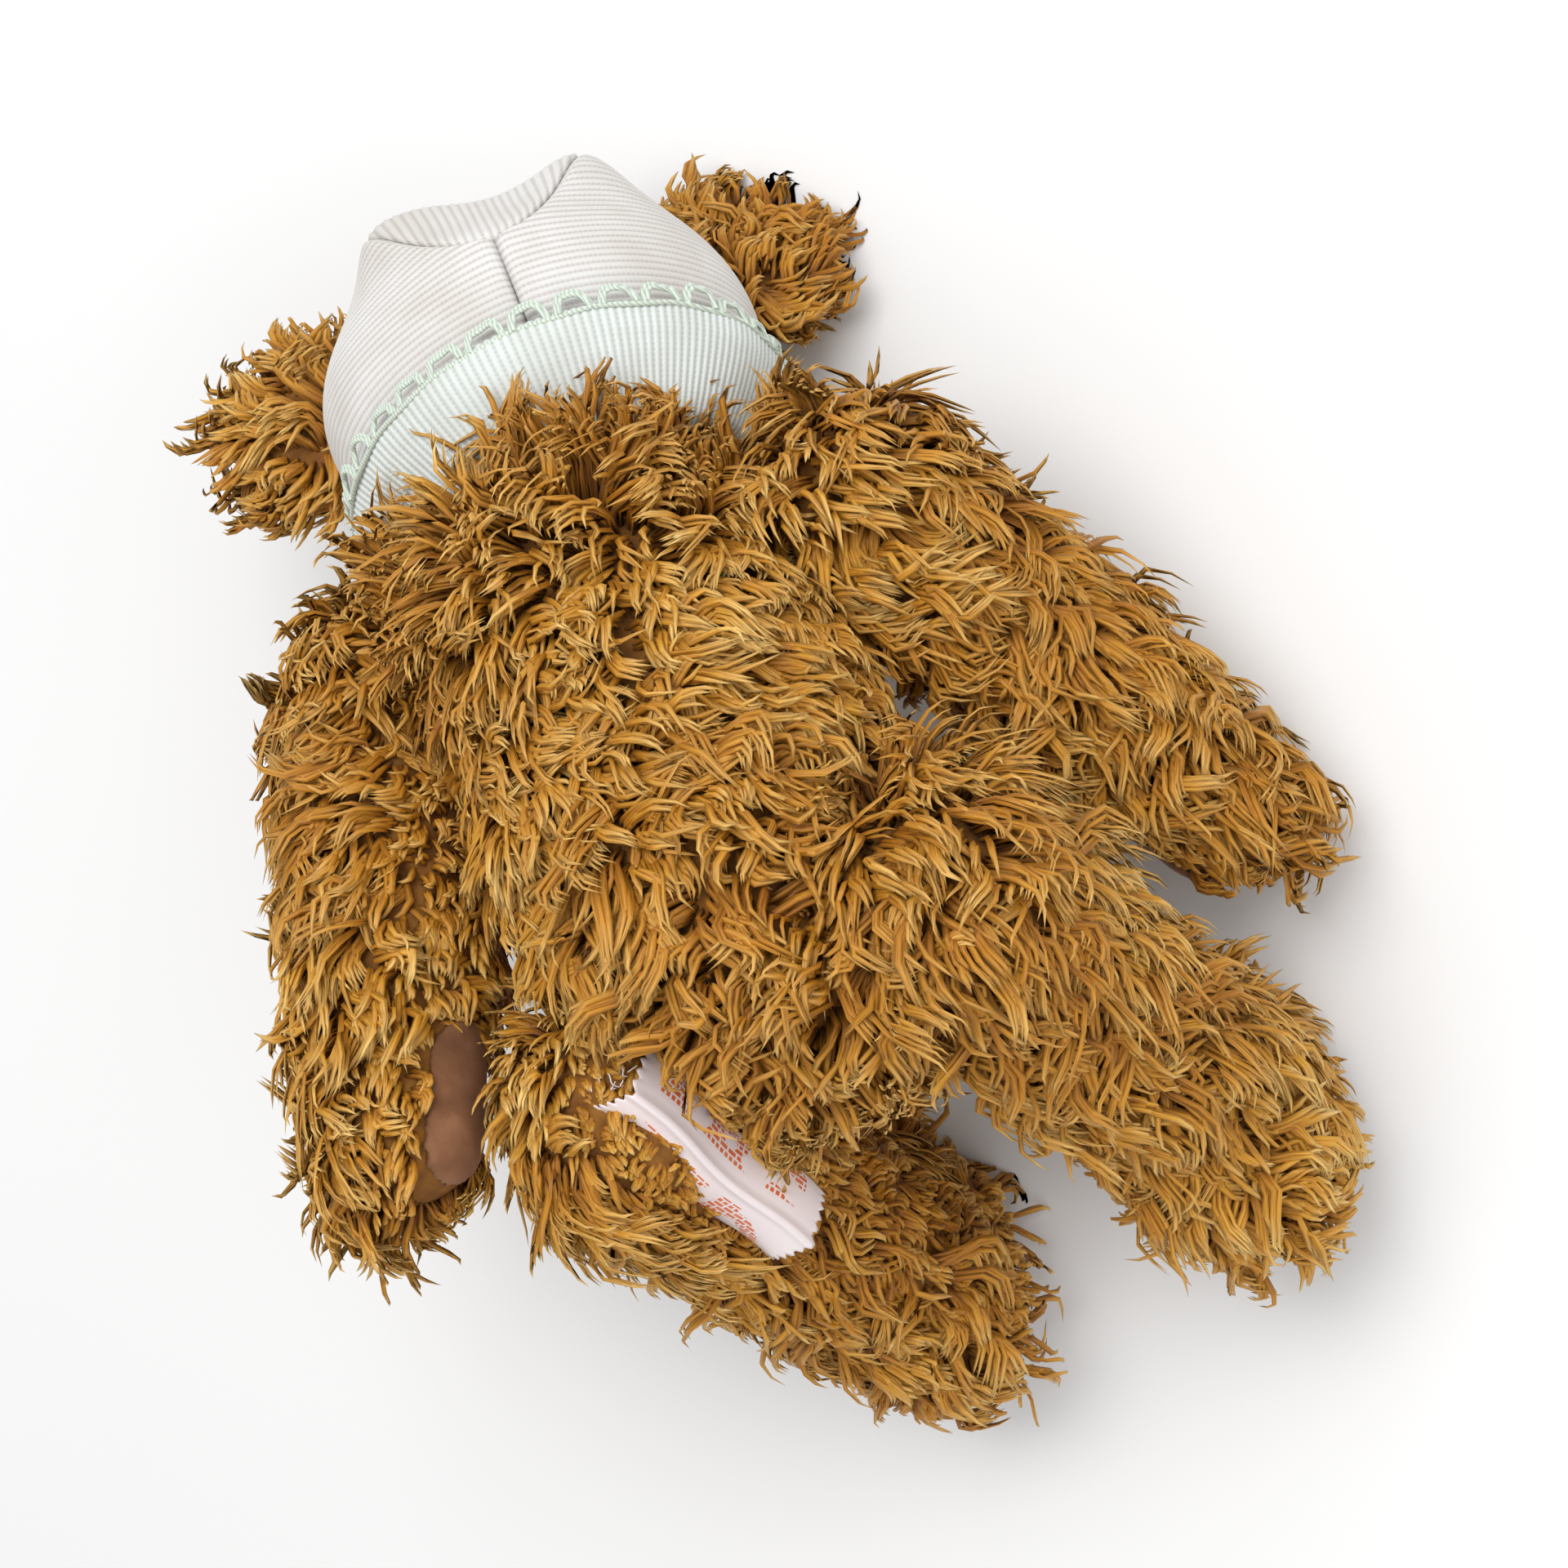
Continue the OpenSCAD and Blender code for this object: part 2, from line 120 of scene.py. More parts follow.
# How far each part is turned at rest, in degrees
HEAD_TURN, SHOULDER_TURN = 27, 4
ARM_ANGLE = {LEFT: -5, RIGHT: 46}
LEG_ANGLE = {LEFT: 75, RIGHT: 71}
HEAD = BODY @ shift(0, -8, 99) @ turn(HEAD_TURN, "Z")
ARM_AT = {s: (0, s * 6, 42 + s * 8) for s in (LEFT, RIGHT)}
ARM = {s: BODY @ shift(*ARM_AT[s]) @ turn(SHOULDER_TURN, "Z") @ turn(-ARM_ANGLE[s], "X") for s in (LEFT, RIGHT)}
LEG = {s: BODY @ shift(0, 0, -HIP_DOWN) @ turn(-LEG_ANGLE[s], "X") for s in (LEFT, RIGHT)}

# Sizes that the frame's CAD gives, in millimetres
ARM_X, ARM_SLOPE, ARM_LEN = 52, 14, 98
HIP_X, LEG_LEN = 38, 112
CAP_R = 46.1  # the bonnet's plain sphere
CORNER = {LEFT: np.array([15.0, 24.0, 34.0]), RIGHT: np.array([-21.0, 25.0, 32.0])}
SEAM_Z, SEAM_RISE, TOP_HALF = 12, 30, 25  # the seam's low point and rise, and the crown's half width
CAP_LOW, CAP_HIGH = -19, 38.6  # the side panels' lowest and highest latitudes
BRAID_Z = -16
FACE_TILT_DEG = 14  # the face opening leans back
FACE_TILT = math.radians(FACE_TILT_DEG)
FACE_AT = -9
# the care label's fold on the left leg, with the directions along it, out of the leg and across it
LABEL_FOLD = np.array([25.6, 12.6, 16.0])
LABEL_ALONG = np.array([0.0, 0.2487, -0.9686])
LABEL_OUT = np.array([-0.397, 0.886, 0.238])
LABEL_ACROSS = np.array([-0.905, -0.422, -0.037])
MUZZLE = np.array([0.0, -38.0, -10.0])
MUZZLE_R = 18
EYE = np.array([16.0, -37.0, 8.0])


def to_row(m, p):
    """Points in millimetres in frame m, as points in metres in the row frame."""
    a = np.array(m, float)
    return np.asarray(p, float) @ a[:3, :3].T + a[:3, 3]


def to_local(m, p):
    return to_row(m.inverted(), p)


def turned(m, v):
    """Directions in the row frame as unit directions in frame m."""
    out = np.asarray(v, float) @ np.array(m.inverted(), float)[:3, :3].T
    return out / np.maximum(np.linalg.norm(out, axis=-1, keepdims=True), 1e-12)


def unit(v):
    return v / np.maximum(np.linalg.norm(v, axis=-1, keepdims=True), 1e-9)


# ---------- sizes and colours to change ----------


class PlushSettings(bpy.types.PropertyGroup):
    pile_length: FloatProperty(name="Pile length", description="Length of a lock of pile",
                               default=15 * MM, subtype="DISTANCE")
    pile_per_mm2: FloatProperty(name="Pile density", description="Locks for each square millimetre of cloth",
                                default=0.60)
    lock_width: FloatProperty(name="Lock width", description="Width of a lock at its root",
                              default=1.22 * MM, subtype="DISTANCE")
    tuft_gap: FloatProperty(name="Tuft spacing", description="Distance between two tufts' middles",
                            default=5.5 * MM, subtype="DISTANCE")
    seed: IntProperty(name="Seed", description="Seed of the pile's random places", default=7)


class BonnetSettings(bpy.types.PropertyGroup):
    rib_pitch: FloatProperty(name="Rib pitch", description="Distance between two ribs of the knit",
                             default=1.75 * MM, subtype="DISTANCE")
    rib_height: FloatProperty(name="Rib height", description="Height of a rib over its groove",
                              default=0.32 * MM, subtype="DISTANCE")
    scallop_pitch: FloatProperty(name="Scallop pitch", description="Distance between two arches of the braid",
                                 default=9.8 * MM, subtype="DISTANCE")


class StageSettings(bpy.types.PropertyGroup):
    lens: FloatProperty(name="Lens", description="Focal length of the camera in millimetres", default=69.7)
    distance: FloatProperty(name="Distance", description="From the bear's middle to the camera",
                            default=0.6, subtype="DISTANCE")


# ---------- small tools ----------


def only(*objs):
    """Selects these objects and nothing else."""
    if bpy.context.mode != "OBJECT":
        bpy.ops.object.mode_set(mode="OBJECT")
    bpy.ops.object.select_all(action="DESELECT")
    for o in objs:
        o.select_set(True)
    bpy.context.view_layer.objects.active = objs[0]
    return objs[0]


def apply_modifier(o, name, kind, **settings):
    m = o.modifiers.new(name, kind)
    for k, v in settings.items():
        setattr(m, k, v)
    only(o)
    bpy.ops.object.modifier_apply(modifier=m.name)


def in_edit(o, *steps):
    """Runs edit-mode operators on all of o's mesh."""
    only(o)
    bpy.ops.object.mode_set(mode="EDIT")
    bpy.ops.mesh.select_all(action="SELECT")
    for operator, settings in steps:
        operator(**settings)
    bpy.ops.object.mode_set(mode="OBJECT")


def coordinates(o):
    co = np.zeros(len(o.data.vertices) * 3, np.float32)
    o.data.vertices.foreach_get("co", co)
    return co.reshape(-1, 3).astype(float)


def place(o, co):
    o.data.vertices.foreach_set("co", np.asarray(co, np.float32).ravel())
    o.data.update()


def smooth(o):
    only(o)
    bpy.ops.object.shade_smooth()


def normals_out(o):
    in_edit(o, (bpy.ops.mesh.normals_make_consistent, {"inside": False}))


def finish_piece(o, body, material, slot, *nodes):
    o.data.materials.clear()
    o.data.materials.append(material)
    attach(o, body)
    if nodes:
        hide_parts(*nodes)
    return o


def above_floor(p):
    p[:, 2] = np.maximum(p[:, 2], FLOOR_GAP * MM)
    return p


# ---------- materials ----------

NOISE, WAVE = "ShaderNodeTexNoise", "ShaderNodeTexWave"


def linear(hexa):
    """An sRGB hex colour as linear RGBA."""
    c = [int(hexa[i : i + 2], 16) / 255 for i in (1, 3, 5)]
    return tuple(x / 12.92 if x <= 0.04045 else ((x + 0.055) / 1.055) ** 2.4 for x in c) + (1.0,)


def add_node(m, kind, inputs=None, ramp=None, **settings):
    """Adds a node: inputs are values or (node, output) links, ramp is a list of (place, colour)."""
    n = m.node_tree.nodes.new(kind)
    for k, v in settings.items():
        setattr(n, k, v)
    for k, v in (inputs or {}).items():
        if isinstance(v, tuple) and len(v) == 2 and isinstance(v[0], bpy.types.Node):
            m.node_tree.links.new(v[0].outputs[v[1]], n.inputs[k])
        else:
            n.inputs[k].default_value = v
    if ramp:
        e = n.color_ramp.elements
        while len(e) < len(ramp):
            e.new(1.0)
        for point, (at, c) in zip(e, ramp):
            point.position, point.color = at, linear(c)
    return n


def new_material(name, **surface):
    m = bpy.data.materials.new(name)
    m.use_nodes = True
    shader = m.node_tree.nodes["Principled BSDF"]
    for k, v in surface.items():
        shader.inputs[k.replace("_", " ")].default_value = v
    return m, shader


def link(m, source, output, shader, socket):
    m.node_tree.links.new(source.outputs[output], shader.inputs[socket])


def bump(m, shader, source, output, strength, height_mm):
    b = add_node(m, "ShaderNodeBump",
                 {"Height": (source, output), "Strength": strength, "Distance": height_mm * MM})
    link(m, b, "Normal", shader, "Normal")


def maths(m, operation, *values):
    """A Math node of numbers and of (node, output) links."""
    return add_node(m, "ShaderNodeMath", dict(enumerate(values)), operation=operation)


def tinted(m, source, ramp):
    return add_node(m, "ShaderNodeValToRGB", {"Fac": source}, ramp=ramp)


def mix(m, share, one, other, **settings):
    return add_node(m, "ShaderNodeMixRGB", {"Fac": share, "Color1": one, "Color2": other}, **settings)


def textured(m, kind, **inputs):
    """A texture laid on the piece in its own space."""
    at = add_node(m, "ShaderNodeTexCoord")
    return add_node(m, kind, {"Vector": (at, "Object"), **inputs})


def laid(m, uv_map):
    """A UV map and its two parts."""
    uv = add_node(m, "ShaderNodeUVMap", uv_map=uv_map)
    return (uv, "UV"), add_node(m, "ShaderNodeSeparateXYZ", {"Vector": (uv, "UV")})


def pile_material():
    """Long mohair-like acrylic pile: brown at the root, golden along the lock, straw at the tip; the dark root is
    partly painted shade deep in the pile and the pale tip partly a painted highlight.
    """
    m, shader = new_material("curly_acrylic_plush", Roughness=0.5, Sheen_Weight=0.14, Sheen_Roughness=0.4)
    shader.inputs["Sheen Tint"].default_value = linear("#ffd998")
    shader.inputs["Specular IOR Level"].default_value = 0.35
    uv, part = laid(m, "OFBake")
    # from root to tip, for the darkest locks and for the lightest: besides the fibre's own tipping, darker at the
    # root as painted shade deep in the pile and paler at the tip as a painted highlight
    deep = tinted(m, (part, "Y"), [(0.0, "#5a3208"), (0.25, "#8f5609"), (0.6, "#b37413"), (1.0, "#cd9128")])
    light = tinted(m, (part, "Y"), [(0.0, "#77450f"), (0.25, "#b37818"), (0.6, "#d9a238"), (1.0, "#fde096")])
    mixed = mix(m, (part, "X"), (deep, "Color"), (light, "Color"))
    # fibres side by side across a lock's width, each wandering a little along it
    lie = add_node(m, "ShaderNodeVectorMath", {0: uv, 1: (FIBRES / STRIP, 3.0, 1.0)}, operation="MULTIPLY")
    fibre = add_node(m, NOISE, {"Vector": (lie, 0), "Scale": 1.0, "Detail": 2.0})
    streak = tinted(m, (fibre, "Fac"), [(0.34, "#c4b096"), (0.5, "#f4efe6"), (0.66, "#ffffff")])
    fine = mix(m, 1.0, (mixed, "Color"), (streak, "Color"), blend_type="MULTIPLY")
    link(m, fine, "Color", shader, "Base Color")
    bump(m, shader, fibre, "Fac", 0.7, 0.25)
    return m


# Finishes that follow one texture: its kind and inputs, two colours and where along it they sit,
# the relief's strength and height in millimetres, and the surface's own values
FINISHES = {
    # the plush's woven backing, dull and mottled, seen only deep between the locks; its dark brown is partly
    # painted shade under the pile
    "plush_backing_cloth": (NOISE, {"Scale": 240.0, "Detail": 4.0}, [(0.3, "#6a3f12"), (0.7, "#8f5e1f")],
                            (0.6, 0.6), {"Roughness": 0.95}),
    # mercerised cotton in pale mint: a soft lustre and a fine twist
    "mint_cotton_braid": (WAVE, {"Scale": 420.0, "Distortion": 3.0}, [(0.2, "#b4c1b3"), (0.8, "#d5dfd2")],
                          (0.4, 0.2), {"Roughness": 0.6, "Sheen Weight": 0.3}),
    # dark brown perle cotton, twisted, for the nose and mouth
    "dark_embroidery_thread": (WAVE, {"Scale": 500.0, "Distortion": 2.0}, [(0.2, "#1c120c"), (0.8, "#37251a")],
                               (0.4, 0.15), {"Roughness": 0.55, "Sheen Weight": 0.3}),
    # moulded safety eye: black-brown under a clear polished face
    "polished_safety_eye": (NOISE, {"Scale": 300.0}, [(0.3, "#0c0705"), (0.8, "#22130b")],
                            None, {"Roughness": 0.08, "Coat Weight": 0.6, "Coat Roughness": 0.03}),
    # joint disc: dull tan with a fine fibre grain
    "pressed_fibreboard": (NOISE, {"Scale": 700.0, "Detail": 4.0}, [(0.3, "#8b7a5c"), (0.7, "#b09c77")],
                           (0.3, 0.1), {"Roughness": 0.75}),
    # spring steel washer with a faint tumbled mottling
    "zinc_plated_steel": (NOISE, {"Scale": 900.0, "Detail": 3.0}, [(0.3, "#a9acb0"), (0.7, "#cfd1d3")],
                          None, {"Metallic": 1.0, "Roughness": 0.35}),
    # stuffing: white, loose and matt
    "polyester_fibre_fill": (NOISE, {"Scale": 160.0, "Detail": 6.0}, [(0.3, "#d9d6ce"), (0.7, "#f6f4ef")],
                             (0.8, 1.0), {"Roughness": 1.0}),
    # the floor: a matt sheet with no gloss
    "matt_white_paper": (NOISE, {"Scale": 3.0}, [(0.3, "#e6e6e6"), (0.7, "#ebebeb")], None, {"Roughness": 0.9}),
}


def finish(name):
    texture, settings, colours, relief, surface = FINISHES[name]
    m, shader = new_material(name, **surface)
    grain = textured(m, texture, **settings)
    tint = tinted(m, (grain, "Fac"), colours)
    link(m, tint, "Color", shader, "Base Color")
    if relief:
        bump(m, shader, grain, "Fac", *relief)
    return m


def knit_material(name, rib, groove):
    """Cotton rib jersey: smooth bright ribs and duller grooves, each crossed by fine stitches; the grooves' and
    stitches' darker grey is painted shade in the knit's hollows.
    """
    m, shader = new_material(name, Roughness=0.88, Sheen_Weight=0.2, Sheen_Roughness=0.5)
    _, part = laid(m, "knit")
    # one rib for each unit of V, one stitch for each unit of U
    across = maths(m, "MULTIPLY", (part, "Y"), 2 * math.pi)
    wave = maths(m, "COSINE", (across, 0))
    along = maths(m, "MULTIPLY", (part, "X"), 2 * math.pi)
    stitch = maths(m, "SINE", (along, 0))
    both = maths(m, "MULTIPLY_ADD", (stitch, 0), 0.22, (wave, 0))
    level = add_node(m, "ShaderNodeMapRange", {"Value": (both, 0), "From Min": -1.1, "From Max": 1.0})
    # the groove colour in the hollows between ribs and stitches is painted shade
    tint = tinted(m, (level, 0), [(0.0, groove), (0.55, rib), (1.0, rib)])
    fuzz = textured(m, NOISE, Scale=55.0, Detail=5.0)
    worn = tinted(m, (fuzz, "Fac"), [(0.35, "#f1eeea"), (0.65, "#ffffff")])
    mixed = mix(m, 1.0, (tint, "Color"), (worn, "Color"), blend_type="MULTIPLY")
    link(m, mixed, "Color", shader, "Base Color")
    bump(m, shader, level, 0, 0.5, 0.25)
    return m


def suede_material():
    """Brown ultrasuede: a matt nap with brushed lighter and darker patches."""
    m, shader = new_material("brown_suede", Roughness=0.92, Sheen_Weight=0.45, Sheen_Roughness=0.45)
    shader.inputs["Sheen Tint"].default_value = linear("#c79a7c")
    patch = textured(m, NOISE, Scale=120.0, Detail=6.0)
    nap = textured(m, NOISE, Scale=1400.0, Detail=2.0)
    tint = tinted(m, (patch, "Fac"), [(0.3, "#6b452c"), (0.5, "#805639"), (0.72, "#966a4b")])
    link(m, tint, "Color", shader, "Base Color")
    bump(m, shader, nap, "Fac", 0.35, 0.25)
    return m


def satin_material():
    """White polyester satin label: glossy weave with rows of plain orange bars in place of print."""
    m, shader = new_material("white_satin_label", Roughness=0.32, Sheen_Weight=0.2, Anisotropic=0.4)
    uv, part = laid(m, "label")
    cloth = linear("#efe3e4")
    bars = add_node(m, "ShaderNodeTexBrick", {
        "Vector": uv, "Color1": linear("#d9622a"), "Color2": linear("#e07a45"), "Mortar": cloth,
        "Scale": 1.0, "Mortar Size": 0.26, "Mortar Smooth": 0.1, "Brick Width": 2.6, "Row Height": 1.55})
    bars.offset, bars.offset_frequency, bars.squash, bars.squash_frequency = 0.37, 2, 0.55, 3
    # where the two leaves are printed: bands beside the fold, off the cut ends
    band = maths(m, "SUBTRACT", (part, "Y"), 15.0)
    away = maths(m, "ABSOLUTE", (band, 0))
    near = maths(m, "GREATER_THAN", (away, 0), 3.4)
    mid = maths(m, "SUBTRACT", (part, "X"), 26.0)
    reach = maths(m, "ABSOLUTE", (mid, 0))
    inside = maths(m, "LESS_THAN", (reach, 0), 20.5)
    wave = add_node(m, NOISE, {"Vector": uv, "Scale": 0.16, "Detail": 0.0})
    some = maths(m, "GREATER_THAN", (wave, "Fac"), 0.47)
    printed = maths(m, "MULTIPLY", (near, 0), (inside, 0))
    bar = maths(m, "MULTIPLY", (printed, 0), (some, 0))
    mixed = mix(m, (bar, 0), cloth, (bars, "Color"))
    link(m, mixed, "Color", shader, "Base Color")
    weave = add_node(m, WAVE, {"Vector": uv, "Scale": 2.2, "Distortion": 0.4})
    bump(m, shader, weave, "Fac", 0.15, 0.08)
    return m


# ---------- stuffed forms ----------


def copy_node(node, name):
    """A merged copy of a CAD node's mesh, for a piece that stands for it."""
    o = bpy.data.objects.new(name, frame["nodes"][node].data.copy())
    bpy.context.scene.collection.objects.link(o)
    o.data.materials.clear()
    in_edit(o, (bpy.ops.mesh.remove_doubles, {"threshold": 0.01 * MM}))
    return o


def outer_shell(o):
    """Leaves only a hollow form's outside: a ray out of it meets nothing."""
    bm = bmesh.new()
    bm.from_mesh(o.data)
    tree = BVHTree.FromBMesh(bm)
    off, far = 0.02 * MM, 200 * MM
    inner = [f for f in bm.faces
             if tree.ray_cast(f.calc_center_median() + f.normal * off, f.normal, far)[0] is not None]
    bmesh.ops.delete(bm, geom=inner, context="FACES")
    bm.to_mesh(o.data)
    bm.free()
    in_edit(o, (bpy.ops.mesh.fill_holes, {"sides": 0}))


def stuffed(node, name, voxel=3.0, hollow=True):
    """One closed stuffed form, remeshed evenly from a CAD skin."""
    o = copy_node(node, name)
    if hollow:
        outer_shell(o)
    apply_modifier(o, "Even mesh", "REMESH", mode="VOXEL", voxel_size=voxel * MM)
    apply_modifier(o, "Soften", "SMOOTH", factor=0.5, iterations=3)
    return o


CLOTH_FRAMES, CLOTH_PRESSURE = 20, 4
SEAT_R, SEAT_EASE = 22, 20  # the joint's flat seat, and the swell's way in, in mm


def swell(o, cap_mm, joint_at=None):
    """Cloth under pressure: the form fills out by at most cap_mm, and not at its joint's flat seat."""
    start = coordinates(o)
    m = o.modifiers.new("Cloth", "CLOTH")
    m.settings.use_pressure = True
    m.settings.uniform_pressure_force = CLOTH_PRESSURE
    m.settings.quality = 4
    m.settings.effector_weights.gravity = 0
    m.collision_settings.use_collision = False
    m.collision_settings.use_self_collision = False
    m.point_cache.frame_start, m.point_cache.frame_end = 1, CLOTH_FRAMES
    scene = bpy.context.scene
    for f in range(1, CLOTH_FRAMES + 1):
        scene.frame_set(f)
    done = o.evaluated_get(bpy.context.evaluated_depsgraph_get())
    end = np.array([v.co[:] for v in done.data.vertices], float)
    o.modifiers.remove(m)
    scene.frame_set(1)
    if len(end) != len(start):
        raise RuntimeError(f"the cloth of {o.name} changed its mesh")
    move = end - start
    size = np.linalg.norm(move, axis=1, keepdims=True)
    cap = np.full(len(start), cap_mm * MM)
    if joint_at is not None:
        away = np.linalg.norm(start - np.array(joint_at), axis=1)
        cap *= np.clip((away - SEAT_R * MM) / (SEAT_EASE * MM), 0, 1)
    move *= np.minimum(1, cap[:, None] / np.maximum(size, 1e-9))
    place(o, above_floor(start + move))


STUFFED = {}  # each cloth form by its name, for the pile


class BEAR_OT_stuffed_forms(bpy.types.Operator):
    """Make the stuffed body, head, ears and limbs in their backing cloth"""

    bl_idname = "bear.stuffed_forms"
    bl_label = "Stuffed forms"

    def execute(self, context):
        # the backing's dark brown is partly painted shade under the pile
        cloth = finish("plush_backing_cloth")
        plan = [("torso", "body_skin", "torso", 1.2, None), ("head", "head_skin", "head", 0.0, None)]
        for _, side in SIDES:
            plan.append((f"arm_{side}", f"arm_{side}_skin", f"arm_{side}", 2.5, f"shoulder_{side}"))
            plan.append((f"leg_{side}", f"leg_{side}_skin", f"leg_{side}", 1.5, f"hip_{side}"))
            plan.append((f"ear_{side}", f"ear_{side}", "head", 0.0, None))
        for name, node, body, cap, hinge in plan:
            ear = name.startswith("ear")
            o = stuffed(node, f"{name}_cloth", 1.5 if ear else 3.0, hollow=not ear)
            if cap:
                swell(o, cap, joint(hinge)["pos_m"] if hinge else None)
            place(o, above_floor(coordinates(o)))
            smooth(o)
            finish_piece(o, body, cloth, "plush", node)
            STUFFED[name] = o
        return {"FINISHED"}


# ---------- pile ----------


def scatter(o, per_mm2, rng):
    """Seeded points on a mesh, evenly by area, with the surface's direction."""
    me = o.data
    me.calc_loop_triangles()
    t = np.zeros(len(me.loop_triangles) * 3, np.int32)
    me.loop_triangles.foreach_get("vertices", t)
    co = coordinates(o)
    nv = np.zeros(len(me.vertices) * 3, np.float32)
    me.vertices.foreach_get("normal", nv)
    nv = nv.reshape(-1, 3).astype(float)
    t = t.reshape(-1, 3)
    a, b, c = co[t[:, 0]], co[t[:, 1]], co[t[:, 2]]
    area = np.linalg.norm(np.cross(b - a, c - a), axis=1) / 2
    n = int(per_mm2 * area.sum() / MM**2)
    pick = np.searchsorted(np.cumsum(area) / area.sum(), rng.random(n))
    pick = np.minimum(pick, len(t) - 1)
    r = np.sqrt(rng.random((n, 1)))
    s = rng.random((n, 1))
    w = (1 - r, r * (1 - s), r * s)
    t = t[pick]
    point = sum(k * co[t[:, i]] for i, k in enumerate(w))
    normal = unit(sum(k * nv[t[:, i]] for i, k in enumerate(w)))
    return point, normal


def ruffle(o, inset, height, fineness, seed):
    """Moves a form in by inset and up and down by height, in millimetres."""
    co = coordinates(o)
    nv = np.array([v.normal[:] for v in o.data.vertices])
    place(o, above_floor(co + nv * (height * swirl(co / MM * fineness, seed) - inset)[:, None] * MM))
    smooth(o)


def swirl(p, seed):
    """A smooth wandering value from about -1 to 1 over points in millimetres, on three scales."""
    rng = np.random.default_rng(seed)
    out = np.zeros(len(p))
    for size, weight in ((75, 1.0), (38, 0.8), (21, 0.5)):
        for _ in range(3):
            k = unit(rng.normal(size=3)) * 2 * math.pi / size
            out += weight * np.sin(p @ k + rng.random() * 2 * math.pi)
    return out / 3.4


def nearest(p, centres):
    """Which of the centres each point is nearest to."""
    out = np.empty(len(p), int)
    q = (centres / MM).astype(np.float32)
    p = (p / MM).astype(np.float32)
    own = (q * q).sum(1)
    for i in range(0, len(p), 2000):
        out[i : i + 2000] = (own[None] - 2 * p[i : i + 2000] @ q.T).argmin(1)
    return out


# Levels along one lock, the last being its tip, and the lock's width at each
RINGS = np.array([0.0, 0.24, 0.46, 0.66, 0.85, 1.0])
RING_WIDTH = np.array([0.7, 1.05, 1.15, 1.05, 0.65, 0.0])
# A lock's cross-section is a low ridge
SECTION = np.array([[0.5, -0.2], [-0.5, -0.2], [0.0, 0.3]])
SIDES_ONE = len(SECTION)
TIP = SIDES_ONE * (len(RINGS) - 1)
STRIP = 0.02  # of U, spanned by one lock's width
FIBRES = 9  # across one lock
LOCKS_IN_CURL = 5  # locks that run together to one small point
BESIDE_CAD = 9.2  # mm, with 3 % of the box's side, that the pile may stand out
CLOTH_LIGHT = 0.25  # how far a lock is shaded as the cloth below it


